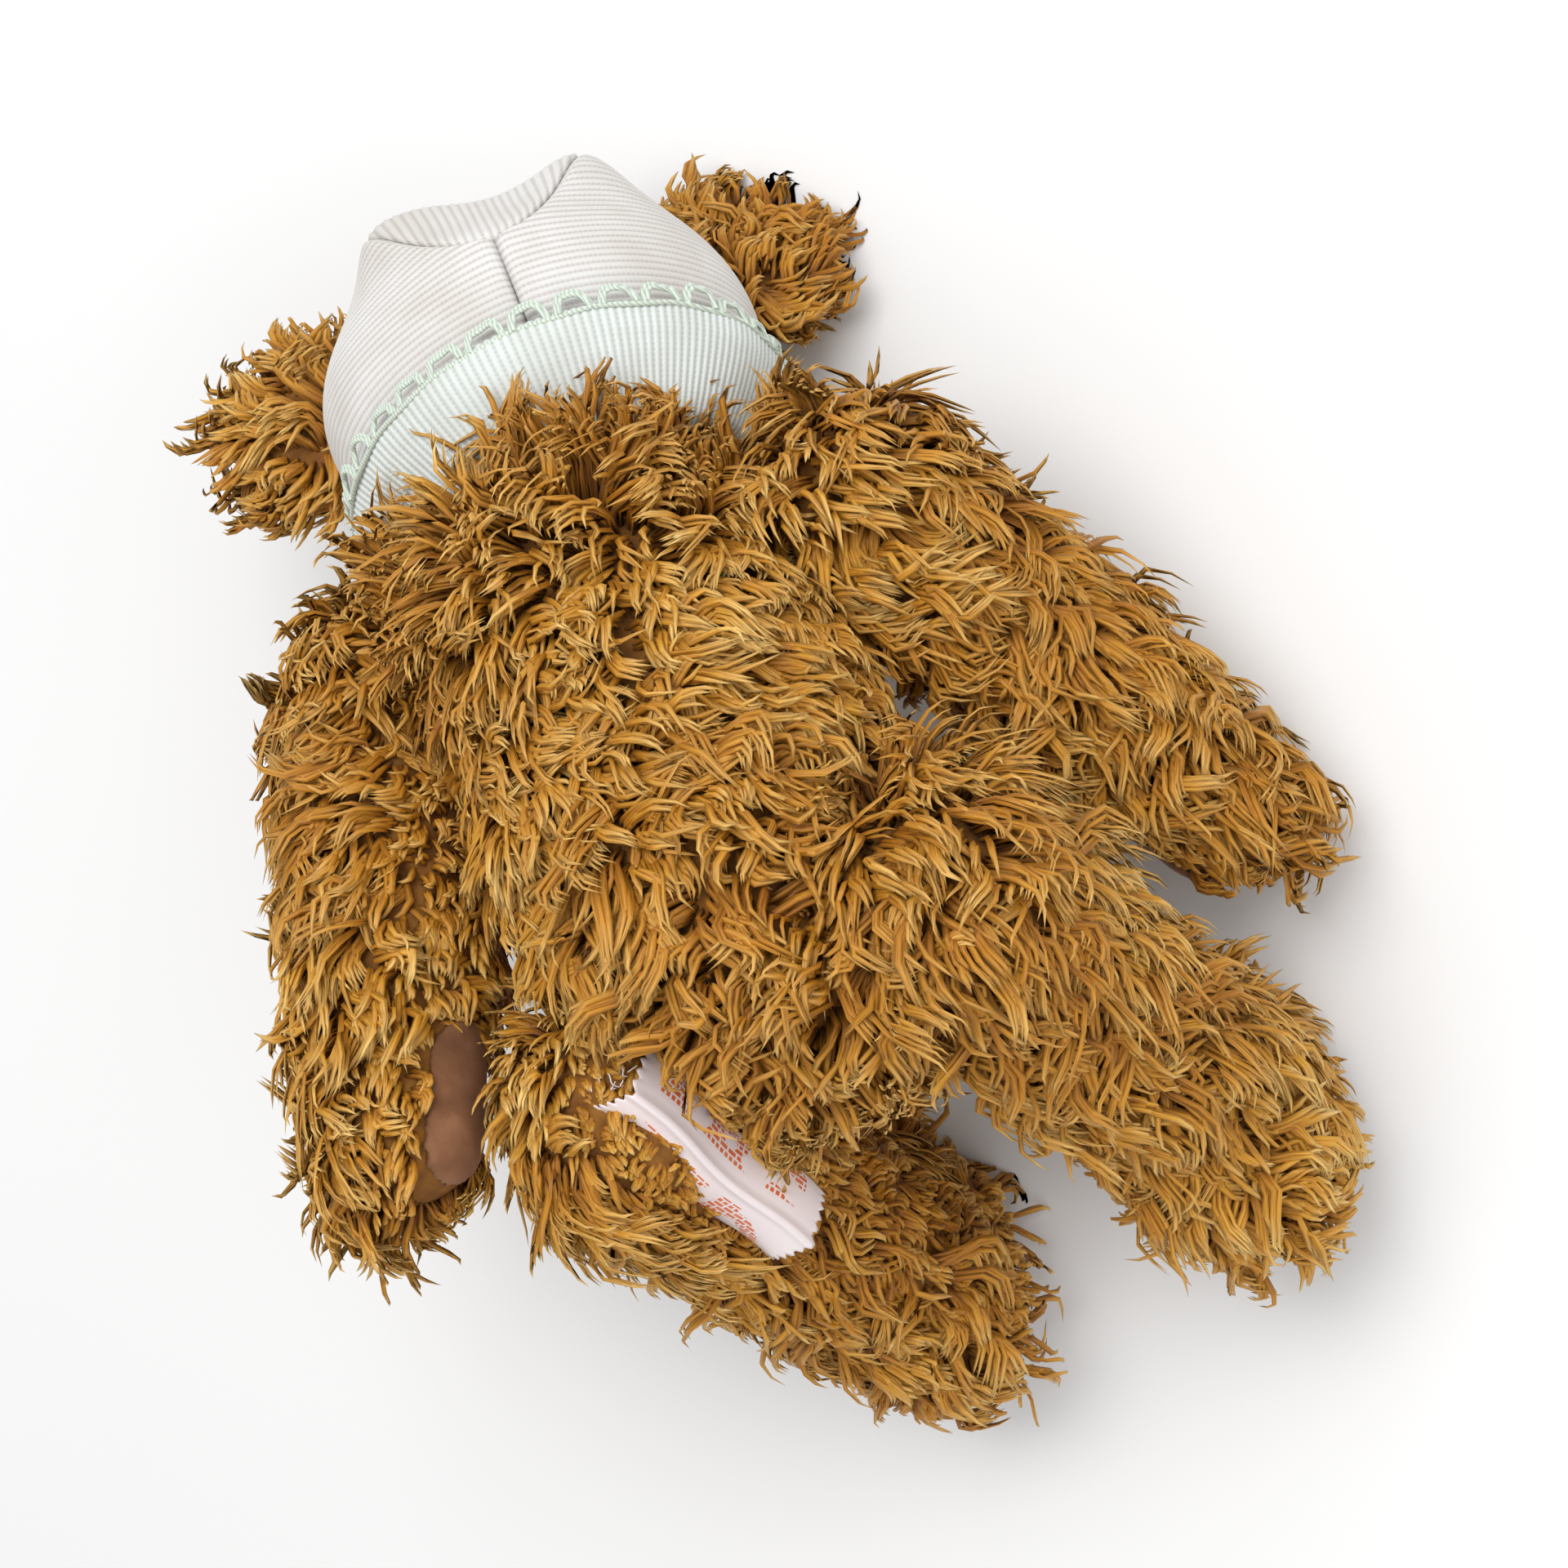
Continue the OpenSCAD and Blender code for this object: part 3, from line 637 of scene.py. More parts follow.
def locks(name, roots, normals, flow, length, tuft_gap, width, seed):
    """Curved, tapering locks of pile, drawn together into tufts. Everything is in the row frame, in metres."""
    rng = np.random.default_rng(seed)
    n = len(roots)
    tufts = max(4, int(n / (tuft_gap / MM) ** 2 * 2))
    centre = rng.choice(n, tufts, replace=False)
    cc = roots[centre]
    own = nearest(roots, cc)
    small = rng.choice(n, max(4, n // LOCKS_IN_CURL), replace=False)
    curl = nearest(roots, roots[small])
    # where the flow runs out of the cloth rather than along it, the pile stands up
    lean = np.clip(np.linalg.norm(flow, axis=1), 0.12, 1)
    tn, tf = normals[centre], flow[centre]
    stray = rng.normal(0, 0.36, tufts)
    tf = unit(tf - (tf * tn).sum(1, keepdims=True) * tn)
    side = np.cross(tn, tf)
    tf = unit(tf * np.cos(stray)[:, None] + side * np.sin(stray)[:, None])
    side = np.cross(tn, tf)
    tuft_len = rng.uniform(0.78, 1.22, tufts)
    lift = rng.uniform(0.36, 0.66, tufts)
    bend = rng.uniform(0.07, 0.22, tufts) * rng.choice([-1, 1], tufts)
    phase = rng.uniform(-0.5, 0.9, tufts)
    droop = rng.uniform(0.05, 0.30, tufts)
    tone_t = rng.random(tufts)
    tilt = rng.normal(0, 0.15, (len(small), 3))
    curve = rng.uniform(-0.17, 0.17, len(small))
    tone_s = rng.random(len(small))
    L = length * tuft_len[own] * rng.uniform(0.8, 1.12, n)
    up = unit(0.45 * normals + 0.55 * tn[own])
    pull = (rng.uniform(0.6, 0.98, n)[:, None] * (roots[small][curl] - roots)
            + 0.34 * (cc[own] - roots[small][curl]))
    pull -= (pull * up).sum(1, keepdims=True) * up
    jitter = (rng.normal(0, 0.03, (n, 3)) + tilt[curl]) * L[:, None]
    stand = np.sqrt(1 - lean**2 * (1 - lift[own] ** 2))
    pts = np.empty((len(RINGS), n, 3))
    for i, t in enumerate(RINGS):
        rise = L * stand * (1 - (1 - t) ** 2.1) - L * droop[own] * lean * t**3
        run = L * lean * np.sqrt(1 - lift[own] ** 2) * t**1.35
        start = 2 * math.pi * phase[own]
        wave = L * bend[own] * (np.sin(2 * math.pi * 0.85 * t + start) - np.sin(start))
        wave += L * curve[curl] * math.sin(math.pi * 1.1 * t)
        pts[i] = (roots - up * 0.4 * MM + up * rise[:, None] + tf[own] * run[:, None] + side[own] * wave[:, None]
                  + pull * t**1.1 + jitter * t**1.3)
    tangent = unit(np.gradient(pts, axis=0))
    across = unit(np.cross(tangent, up[None] + 0.3 * rng.normal(size=(1, n, 3))))
    over = np.cross(across, tangent)
    w0 = width * rng.uniform(0.7, 1.25, n)
    verts = np.empty((n, TIP + 1, 3))
    for i in range(len(RINGS) - 1):
        w = (w0 * RING_WIDTH[i])[:, None]
        for k in range(SIDES_ONE):
            verts[:, i * SIDES_ONE + k] = pts[i] + w * (across[i] * SECTION[k, 0] + over[i] * SECTION[k, 1])
    verts[:, TIP] = pts[-1]
    verts = above_floor(within_reach(verts, roots).reshape(-1, 3))
    faces, uvs = [], []
    us = np.linspace(0, STRIP, SIDES_ONE + 1)
    for i in range(len(RINGS) - 2):
        low, high = RINGS[i], RINGS[i + 1]
        for k in range(SIDES_ONE):
            j = (k + 1) % SIDES_ONE
            r = i * SIDES_ONE
            faces.append([r + k, r + j, r + SIDES_ONE + j, r + SIDES_ONE + k])
            uvs.append([(us[k], low), (us[k + 1], low), (us[k + 1], high), (us[k], high)])
    for k in range(SIDES_ONE):
        j = (k + 1) % SIDES_ONE
        faces.append([TIP - SIDES_ONE + k, TIP - SIDES_ONE + j, TIP])
        uvs.append([(us[k], RINGS[-2]), (us[k + 1], RINGS[-2]), ((us[k] + us[k + 1]) / 2, 1.0)])
    faces.append(list(range(SIDES_ONE))[::-1])
    uvs.append([(us[3], 0.02), (us[1], 0.0), (us[0], 0.0)])  # the root's end face
    tone = (0.5 + 0.28 * swirl(to_local(BODY, roots), 11) + 0.26 * (tone_t[own] - 0.5)
            + 0.24 * (tone_s[curl] - 0.5) + 0.26 * (rng.random(n) - 0.5))
    tone = np.clip(tone, 0.02, 0.98) * (1 - STRIP)
    return mesh_of(name, verts, faces, uvs, tone, np.repeat(up, TIP + 1, axis=0))


def within_reach(verts, roots):
    """Shorten the locks that would stand further out of the CAD's box than the pile may."""
    low, high = (np.array(corner) for corner in CAD_BOX)
    spare = 0.03 * (high - low) + BESIDE_CAD * MM
    arm = verts - roots[:, None]
    room = np.where(arm > 0, high + spare - roots[:, None], roots[:, None] - low + spare)
    share = (room / np.maximum(np.abs(arm), 1e-6)).min(axis=(1, 2))
    return roots[:, None] + arm * np.clip(share, 0.2, 1)[:, None, None]


def mesh_of(name, verts, faces, uvs, tone, up):
    """One mesh of many locks, each with the same few faces; `up` is the cloth's normal at each vertex."""
    n = len(tone)
    loops_one = np.array([v for f in faces for v in f])
    total_one = np.array([len(f) for f in faces])
    uv_one = np.array([p for f in uvs for p in f])
    loops = (loops_one[None] + (TIP + 1) * np.arange(n)[:, None]).ravel()
    totals = np.tile(total_one, n)
    me = bpy.data.meshes.new(name)
    me.vertices.add(len(verts))
    me.vertices.foreach_set("co", verts.astype(np.float32).ravel())
    me.loops.add(len(loops))
    me.loops.foreach_set("vertex_index", loops.astype(np.int32))
    me.polygons.add(len(totals))
    me.polygons.foreach_set("loop_start", np.concatenate([[0], np.cumsum(totals)[:-1]]).astype(np.int32))
    me.update(calc_edges=True)
    me.polygons.foreach_set("use_smooth", np.ones(len(totals), bool))
    layer = me.uv_layers.new(name="OFBake")
    uv = np.tile(uv_one[None], (n, 1, 1))
    uv[:, :, 0] += tone[:, None]
    layer.uv.foreach_set("vector", uv.astype(np.float32).ravel())
    me.validate()
    # fine fibres scatter light between them, so a lock is lit partly as the cloth below it is
    own = np.empty(len(verts) * 3, np.float32)
    me.vertices.foreach_get("normal", own)
    me.normals_split_custom_set_from_vertices(unit((1 - CLOTH_LIGHT) * own.reshape(-1, 3) + CLOTH_LIGHT * up))
    o = bpy.data.objects.new(name, me)
    bpy.context.scene.collection.objects.link(o)
    return o


def bell(d, size):
    return np.exp(-((d / size) ** 2))


# How strongly the pile at the top of a limb is brushed sideways, against its run down the limb
BRUSH = {"arm": 1.3, "leg": 1.5}


def parted(points):
    """Share of the pile's length left near the care label and the left paw's pad, where it is brushed aside."""
    away = to_local(LEG[LEFT], points) - LABEL_FOLD
    along = away @ LABEL_ALONG
    label = np.linalg.norm(away - np.clip(along, -4, 50)[:, None] * LABEL_ALONG, axis=1)
    paw = to_local(ARM[LEFT], points) - np.array([ARM_X - 9, 0.0, 0.0])
    pad = np.linalg.norm(paw - np.stack([0 * along, 0 * along, np.clip(paw[:, 2], -100, -88)], 1), axis=1)
    return (1 - 0.76 * np.clip((18 - label) / 5, 0, 1)) * (1 - 0.3 * np.clip((17 - pad) / 5, 0, 1))


def torso_pile(p, n):
    """Share of the full length on the body, and which way the pile lies."""
    share = np.ones(len(p))
    share[(p[:, 2] > 55) & (np.hypot(p[:, 0], p[:, 1] + 8) < 16)] = 0  # under the head's disc
    for s in (LEFT, RIGHT):  # where the arms turn
        away = np.hypot(p[:, 1] - ARM_AT[s][1], p[:, 2] - ARM_AT[s][2])
        share[(away < 13.5) & (p[:, 0] * s > 33)] = 0
    share[(np.abs(n[:, 0]) > 0.75) & (p[:, 2] < -36)] = 0.22  # where the legs turn
    share *= 1 - 0.3 * np.clip((np.abs(n[:, 0]) - 0.55) / 0.35, 0, 1)  # thinner beside the limbs
    collar = np.clip((p[:, 2] - 28) / 18, 0, 1)  # standing up against the cuff
    share *= 1 + 0.35 * collar
    share *= parted(to_row(BODY, p))
    flow = np.stack([0.3 * p[:, 0] / HIP_X, 0 * collar, -1 + 0.95 * collar], 1)
    return share, flow


def head_pile(p, n):
    """Shorter on the muzzle and round the eyes, and brushed away from the muzzle."""
    share = np.full(len(p), 0.62)
    ahead = p[:, 1] * math.cos(FACE_TILT) + p[:, 2] * math.sin(FACE_TILT)
    share[ahead > FACE_AT - 0.5] = 0  # under the bonnet
    share[p[:, 2] < -38.5] = 0  # the neck's flat
    muzzle = np.linalg.norm(p - MUZZLE, axis=1)
    share *= 1 - 0.62 * bell(np.maximum(muzzle - 17, 0), 7)
    share[np.linalg.norm(p - (MUZZLE + np.array([0, -16, 5])), axis=1) < 7.0] = 0
    for s in (LEFT, RIGHT):
        eye = np.linalg.norm(p - EYE * np.array([s, 1, 1]), axis=1)
        share *= 1 - 0.72 * bell(eye, 9)
        share[eye < 5.6] = 0
    return share, unit(p - MUZZLE) + np.array([0, -0.25, -0.75])


def ear_pile(p, n, side):
    share = np.full(len(p), 0.72)
    share[np.linalg.norm(p, axis=1) < 46] = 0  # inside the head
    root, middle = np.array([side * 38, -5, 14]), np.array([side * 50, -5, 22])
    return share, unit(p - root) + 0.3 * unit(p - middle)


def arm_pile(p, n, side):
    share = np.ones(len(p))
    x = p[:, 0] * side
    inner = n[:, 0] * side < -0.6
    share[inner] = 0.5
    share[inner & (np.hypot(p[:, 1], p[:, 2]) < 15) & (x < 38.5)] = 0
    # the paw's own line
    slope = math.radians(ARM_SLOPE)
    down = -(p[:, 2] * math.cos(slope) - (x - ARM_X) * math.sin(slope))
    out = (x - ARM_X) * math.cos(slope) + p[:, 2] * math.sin(slope)
    along = np.clip(down, 0.9 * ARM_LEN, 1.04 * ARM_LEN)
    pad = np.hypot(p[:, 1], down - along)
    share[(pad < 9.4) & (out < 0)] = 0
    share *= np.where((out < 4) & (pad < 16), 0.5, 1.0)
    top = np.clip((p[:, 2] + 30) / 30, 0, 1)  # the shoulder is brushed to the front
    flow = np.stack([0 * top + side * math.sin(slope), BRUSH["arm"] * top, 0 * top - math.cos(slope)], 1)
    return share, flow


def leg_pile(p, n, side):
    share = np.ones(len(p))
    x = p[:, 0] * side - HIP_X
    inner = n[:, 0] * side < -0.7
    share[inner] = 0.45
    share[inner & (np.hypot(p[:, 1], p[:, 2]) < 20)] = 0
    sole = (p[:, 2] < -LEG_LEN + 2) & (n[:, 2] < -0.6)
    pad = np.hypot(x, p[:, 1] - np.clip(p[:, 1], -17, 6))
    share[sole & (pad < 14.8)] = 0
    if side == LEFT:
        share *= parted(to_row(LEG[LEFT], p))
    share *= 1 - 0.25 * np.clip((-p[:, 2] - 80) / 25, 0, 1)
    top = np.clip((p[:, 2] + 35) / 35, 0, 1)  # the hip is brushed across
    flow = np.stack([0 * top, 0.12 + BRUSH["leg"] * top, 0 * top - 1], 1)
    return share, flow


class BEAR_OT_pile(bpy.types.Operator):
    """Grow the long curly pile on every plush panel, tuft by tuft"""

    bl_idname = "bear.pile"
    bl_label = "Plush pile"

    def execute(self, context):
        s = context.scene.bear_plush
        fur = pile_material()
        # the form, its body, its frame, the rule for its pile with the rule's extra values, and its panels
        plan = [("torso", "torso", BODY, torso_pile, (), ("front_right", "front_left", "back_left", "back_right")),
                ("head", "head", HEAD, head_pile, (), ("face",))]
        for side, word in SIDES:
            plan += [(f"arm_{word}", f"arm_{word}", ARM[side], arm_pile, (side,), ("front", "back")),
                     (f"leg_{word}", f"leg_{word}", LEG[side], leg_pile, (side,), ("front", "back")),
                     (f"ear_{word}", "head", HEAD, ear_pile, (side,), ("all_round",))]
        for k, (name, body, m, rule, extra, panels) in enumerate(plan):
            rng = np.random.default_rng(s.seed + 31 * k)
            points, normals = scatter(STUFFED[name], s.pile_per_mm2, rng)
            p, n = to_local(m, points), turned(m, normals)
            share, flow = rule(p, n, *extra)
            angle = 0.9 * swirl(to_local(BODY, points), 100)
            flow = flow @ np.array(m, float)[:3, :3].T / MM
            flow = flow - (flow * normals).sum(1, keepdims=True) * normals
            flow = flow * np.cos(angle)[:, None] + np.cross(normals, flow) * np.sin(angle)[:, None]
            kept = np.flatnonzero(share > 0.01)
            out = p[kept, :2] - p[kept, :2].mean(0)
            chosen = kept[np.argsort(np.arctan2(out[:, 1], out[:, 0]), kind="stable")]
            for word, part in zip(panels, np.array_split(chosen, len(panels))):
                o = locks(f"plush_{name}_{word}", points[part], normals[part], flow[part],
                          s.pile_length * share[part], s.tuft_gap, s.lock_width, s.seed + 97 * k + len(word))
                finish_piece(o, body, fur, "plush")
        return {"FINISHED"}


# ---------- bonnet ----------


def cap_radius(u, edge):
    """The bonnet's outside along unit directions u: a sphere with two puffed corners and the ridge between
    them, drawn in at the seams, which are edge millimetres away."""
    r = np.full(u.shape[:-1], CAP_R)
    p = u * CAP_R
    for s in (LEFT, RIGHT):
        c = unit(CORNER[s]) * CAP_R
        cheek = unit(np.array([s, 0.35, 0.30])) * CAP_R
        r = r + 6.6 * bell(np.linalg.norm(p - c, axis=-1), 12.0)
        r = r + 2.6 * bell(np.linalg.norm(p - cheek, axis=-1), 22.0)
    x, z = p[..., 0], p[..., 2]
    line = SEAM_Z + SEAM_RISE * (x / TOP_HALF) ** 2
    steep = np.sqrt(1 + (2 * SEAM_RISE * x / TOP_HALF**2) ** 2)
    r = r + np.where(p[..., 1] > 0, 1.6 * bell(np.abs(z - line) / steep, 6), 0)
    return r - 1.25 * bell(edge, 1.1)  # the cloth dips into its seams


def grid_piece(name, p, m, thickness, knit):
    """A sheet from a grid of points in frame m: a grid primitive laid on them, then given its thickness."""
    rows, cols = p.shape[:2]
    only(frame["nodes"]["body_skin"])
    bpy.ops.object.select_all(action="DESELECT")
    bpy.ops.mesh.primitive_grid_add(x_subdivisions=cols - 1, y_subdivisions=rows - 1, size=1)
    o = bpy.context.object
    o.name = o.data.name = name
    flat = coordinates(o)
    order = np.lexsort((np.round(flat[:, 0], 6), np.round(flat[:, 1], 6)))
    co = np.empty_like(flat)
    co[order] = to_row(m, p.reshape(-1, 3))
    place(o, co)
    uv_at = np.empty((len(flat), 2))
    uv_at[order] = knit.reshape(-1, 2)
    for layer in list(o.data.uv_layers):
        o.data.uv_layers.remove(layer)
    layer = o.data.uv_layers.new(name="knit")
    loop_v = np.zeros(len(o.data.loops), np.int32)
    o.data.loops.foreach_get("vertex_index", loop_v)
    layer.uv.foreach_set("vector", uv_at[loop_v].astype(np.float32).ravel())
    middle = to_row(m, np.zeros(3))
    if sum((np.array(f.center) - middle) @ np.array(f.normal) for f in o.data.polygons) < 0:
        o.data.flip_normals()
    apply_modifier(o, "Cloth thickness", "SOLIDIFY", thickness=thickness * MM, offset=-1)
    smooth(o)
    return o


def face_azimuth(z, rho):
    """Where a latitude meets the bonnet's face opening, from the centre back."""
    y = (FACE_AT - z * math.sin(FACE_TILT)) / math.cos(FACE_TILT)
    return np.arccos(np.clip(y / rho, -1, 1))


STITCH = 1.1  # mm along a rib for one stitch
PER_RIB = 4  # grid steps across one rib


def ribbed(ribs, height, edge):
    """Ribs across the rows of a panel, fading out where it is sewn in, and each row's place among them."""
    place_in = np.broadcast_to(np.linspace(0, ribs, ribs * PER_RIB + 1)[:, None], edge.shape)
    return height / 2 * np.cos(2 * np.pi * place_in) * np.clip(edge / 1.5, 0.25, 1), place_in


def side_panel(side, pitch, height):
    """One side of the bonnet: ribs along the latitudes, from the centre-back seam to the face opening."""
    low, high = math.acos(CAP_LOW / CAP_R), math.acos(CAP_HIGH / CAP_R)
    ribs = int(round((low - high) * CAP_R / pitch))
    theta = np.linspace(low, high, ribs * PER_RIB + 1)
    z, rho = CAP_R * np.cos(theta), CAP_R * np.sin(theta)
    x = TOP_HALF * np.sqrt(np.clip((z - SEAM_Z) / SEAM_RISE, 0, None))
    start = np.arcsin(np.clip(x / rho, 0, 0.999))
    end = np.minimum(face_azimuth(z, rho), np.where(x > 0, np.pi - start, 9))
    f = np.linspace(0, 1, 60)
    f = f - 0.12 * np.sin(2 * np.pi * f) / (2 * np.pi)  # closer together at both ends
    phi = start[:, None] + (end - start)[:, None] * f[None]
    th = np.broadcast_to(theta[:, None], phi.shape)
    u = np.stack([side * np.sin(th) * np.sin(phi), np.sin(th) * np.cos(phi), np.cos(th)], -1)
    arc = (phi - start[:, None]) * rho[:, None]
    rib, v = ribbed(ribs, height, arc)
    sag = 0.5 * np.sin(phi * 3.1 + th * 2.3) * np.sin(th * 3.7 + phi * 1.7 + side)
    return u * (cap_radius(u, arc) + rib + sag)[..., None], np.stack([arc / STITCH, v], -1)


def top_panel(pitch, height):
    """The crown: ribs run from front to back, over the head and down to the T seam."""
    half = 23.5
    ribs = int(round(2 * half / pitch))
    x = np.linspace(-half, half, ribs * PER_RIB + 1)
    r0 = np.sqrt(CAP_R**2 - x**2)
    start = np.arcsin(np.clip((SEAM_Z + SEAM_RISE * (x / TOP_HALF) ** 2) / r0, 0, 0.9999))
    end = np.minimum(FACE_TILT + np.arccos(FACE_AT / r0), np.pi - start)
    start, end, r0 = start[:, None], end[:, None], r0[:, None]
    a = start + (end - start) * np.linspace(0, 1, 68)[None]
    u = np.stack([np.broadcast_to(x[:, None], a.shape), r0 * np.cos(a), r0 * np.sin(a)], -1) / CAP_R
    arc = (a - start) * r0
    edge = np.minimum(arc, (np.pi - start - a) * r0)  # to the back seam or the front one
    rib, v = ribbed(ribs, height, edge)
    dish = bell(x, 13)[:, None] * bell(arc - 17, 13)
    return u * (cap_radius(u, edge) + rib - dish)[..., None], np.stack([arc / STITCH, v], -1)


# The cuff's section, radius and height, from the neck up and over its fold
CUFF_LINE = np.array([(33.6, -35.6), (37.6, -34.0), (40.6, -30.8), (43.4, -27.2), (46.0, -23.4),
                      (47.9, -19.8), (48.9, -16.4), (48.9, -14.3), (48.2, -13.4), (46.9, -13.6)])


def cuff_panel(pitch, height):
    """The turned-up band: ribs run towards the neck, and its upper edge is folded over."""
    seg = np.concatenate([[0], np.cumsum(np.linalg.norm(np.diff(CUFF_LINE, axis=0), axis=1))])
    along = seg[-1] * np.linspace(0, 1, 34)
    r0, z = np.interp(along, seg, CUFF_LINE[:, 0]), np.interp(along, seg, CUFF_LINE[:, 1])
    reach = face_azimuth(z, np.maximum(r0, 40))
    ribs = int(round(2 * reach.mean() * 47 / pitch))
    v = np.linspace(0, ribs, ribs * PER_RIB + 1)
    phi = reach[:, None] * np.linspace(-1, 1, len(v))[None]
    rib = height / 2 * np.cos(2 * np.pi * v)[None]
    # waves along the band with two deeper tucks, none of them at its edges
    ease = np.sin(np.pi * along / seg[-1])[:, None]
    fold = 1.1 * np.sin(phi * 4.3 + 0.6) - 1.5 * bell(phi - 1.15, 0.16) - 1.6 * bell(phi + 1.25, 0.2)
    r = r0[:, None] + fold * ease + rib
    p = np.stack([r * np.sin(phi), r * np.cos(phi), np.broadcast_to(z[:, None], phi.shape)], -1)
    return p, np.stack(np.broadcast_arrays(along[:, None] / STITCH, v[None]), -1)


def tube(name, paths, m, radius, sides=6):
    """Threads or cords swept along paths in frame m, as one mesh."""
    curve = bpy.data.curves.new(name, "CURVE")
    curve.dimensions = "3D"
    curve.bevel_depth = radius * MM
    curve.bevel_resolution = sides // 2 - 1
    curve.use_fill_caps = True
    for p in paths:
        row = to_row(m, p)
        s = curve.splines.new("POLY")
        s.points.add(len(row) - 1)
        s.points.foreach_set("co", np.concatenate([row, np.ones((len(row), 1))], 1).astype(np.float32).ravel())
    o = bpy.data.objects.new(name, curve)
    bpy.context.scene.collection.objects.link(o)
    only(o)
    bpy.ops.object.convert(target="MESH")
    o = bpy.context.object
    normals_out(o)
    smooth(o)
    return o


class BEAR_OT_bonnet(bpy.types.Operator):
    """Knit the bonnet: two side panels, the crown, the turned-up cuff and the face hem"""

    bl_idname = "bear.bonnet"
    bl_label = "Bonnet"

    def execute(self, context):
        s = context.scene.bear_bonnet
        pitch, height = s.rib_pitch / MM, s.rib_height / MM
        # the second colour of each knit is painted shade in its grooves
        knit = knit_material("rib_jersey_knit", "#dbdad7", "#c2bcba")
        cuff_knit = knit_material("rib_jersey_knit_right_side", "#dde4e2", "#bfc8c6")
        thick, thick_cuff = 1.2, 1.6
        side = {"flat": (0.074, 0.086), "held": "stretched", "rests_on": ["head_cloth"], "area": 0.0046}
        crown = {"flat": (0.052, 0.082), "held": "stretched", "rests_on": ["head_cloth"], "area": 0.0030}
        band = {"flat": (0.165, 0.030), "held": "folded", "rests_on": ["bonnet_side_left", "bonnet_side_right"]}
        for name, (p, uv), thickness, cloth, node, sheet in (
                ("side_left", side_panel(LEFT, pitch, height), thick, knit, "cap_left_panel", side),
                ("side_right", side_panel(RIGHT, pitch, height), thick, knit, "cap_right_panel", side),
                ("crown", top_panel(pitch, height), thick, knit, "cap_top_panel", crown),
                ("cuff", cuff_panel(pitch, height), thick_cuff, cuff_knit, "cap_cuff", band)):
            o = grid_piece(f"bonnet_{name}", p, HEAD, thickness, uv)
            finish_piece(o, "head", cloth, "rib_knit", node)
        # the face opening's rolled hem
        a = np.linspace(-115, 115, 90)
        r = math.sqrt(CAP_R**2 - FACE_AT**2)
        ring = np.stack([r * np.sin(np.radians(a)), np.full(len(a), FACE_AT), r * np.cos(np.radians(a))], 1)
        hem = tube("bonnet_face_hem", [to_row(turn(FACE_TILT_DEG, "X"), ring)], HEAD, 1.25, 8)
        finish_piece(hem, "head", finish("mint_cotton_braid"), "rib_knit")
        return {"FINISHED"}


class BEAR_OT_trim(bpy.types.Operator):
    """Sew the scalloped braid along the cuff's upper edge"""

    bl_idname = "bear.trim"
    bl_label = "Scalloped braid"

    def execute(self, context):
        reach = float(face_azimuth(BRAID_Z, 48.5)) - 0.02
        foot = BRAID_Z + 0.8
        pitch = context.scene.bear_bonnet.scallop_pitch / MM
        arches = int(round(2 * reach * 49 / pitch))
        rng = np.random.default_rng(5)
        paths = []
        base = np.linspace(-reach, reach, arches * 12 + 1)
        paths.append(np.stack([49.0 * np.sin(base), 49.0 * np.cos(base), foot + 0.25 * np.sin(base * arches)], 1))
        step = 2 * reach / arches
        for i in range(arches):
            mid = -reach + step * (i + 0.5)
            wide, tall, lean = rng.uniform(0.80, 0.92), rng.uniform(4.2, 5.2), rng.uniform(-0.3, 1.3)
            t = np.linspace(-1, 1, 21)
            # a flattened loop: upright legs and a broad arched top
            across = np.sign(t) * np.abs(t) ** 0.75 * step / 2 * wide
            z = foot + tall * (1 - np.abs(t) ** 4.0) + 0.35 * np.sin(3 * t + i)
            r = 48.9 + lean * (1 - t**2) + 0.25 * np.cos(5 * t + i)
            phi = mid + across
            paths.append(np.stack([r * np.sin(phi), r * np.cos(phi), z], 1))
            # second thread inside the loop, close to the first
            r, phi = r + 0.35, mid + across * 0.84
            paths.append(np.stack([r * np.sin(phi), r * np.cos(phi), foot + (z - foot) * 0.80], 1))
        o = tube("scalloped_braid", paths, HEAD, 0.58, 6)
        finish_piece(o, "head", finish("mint_cotton_braid"), "trim_braid", "cap_trim")
        return {"FINISHED"}


# ---------- pads, label, face, joints ----------


class BEAR_OT_pads(bpy.types.Operator):
    """Cut the suede paw and foot pads"""

    bl_idname = "bear.pads"
    bl_label = "Suede pads"

    def execute(self, context):
        suede = suede_material()
        for _, side in SIDES:
            for part, limb in (("paw", "arm"), ("foot", "leg")):
                node = f"{limb}_{side}_{part}_pad"
                o = copy_node(node, f"{part}_pad_{side}")
                apply_modifier(o, "Even mesh", "REMESH", mode="VOXEL", voxel_size=0.75 * MM)
                apply_modifier(o, "Soften", "SMOOTH", factor=0.6, iterations=4)
                ruffle(o, 0, 0.22, 2.2, seed=21)
                finish_piece(o, f"{limb}_{side}", suede, "suede", node)
        return {"FINISHED"}


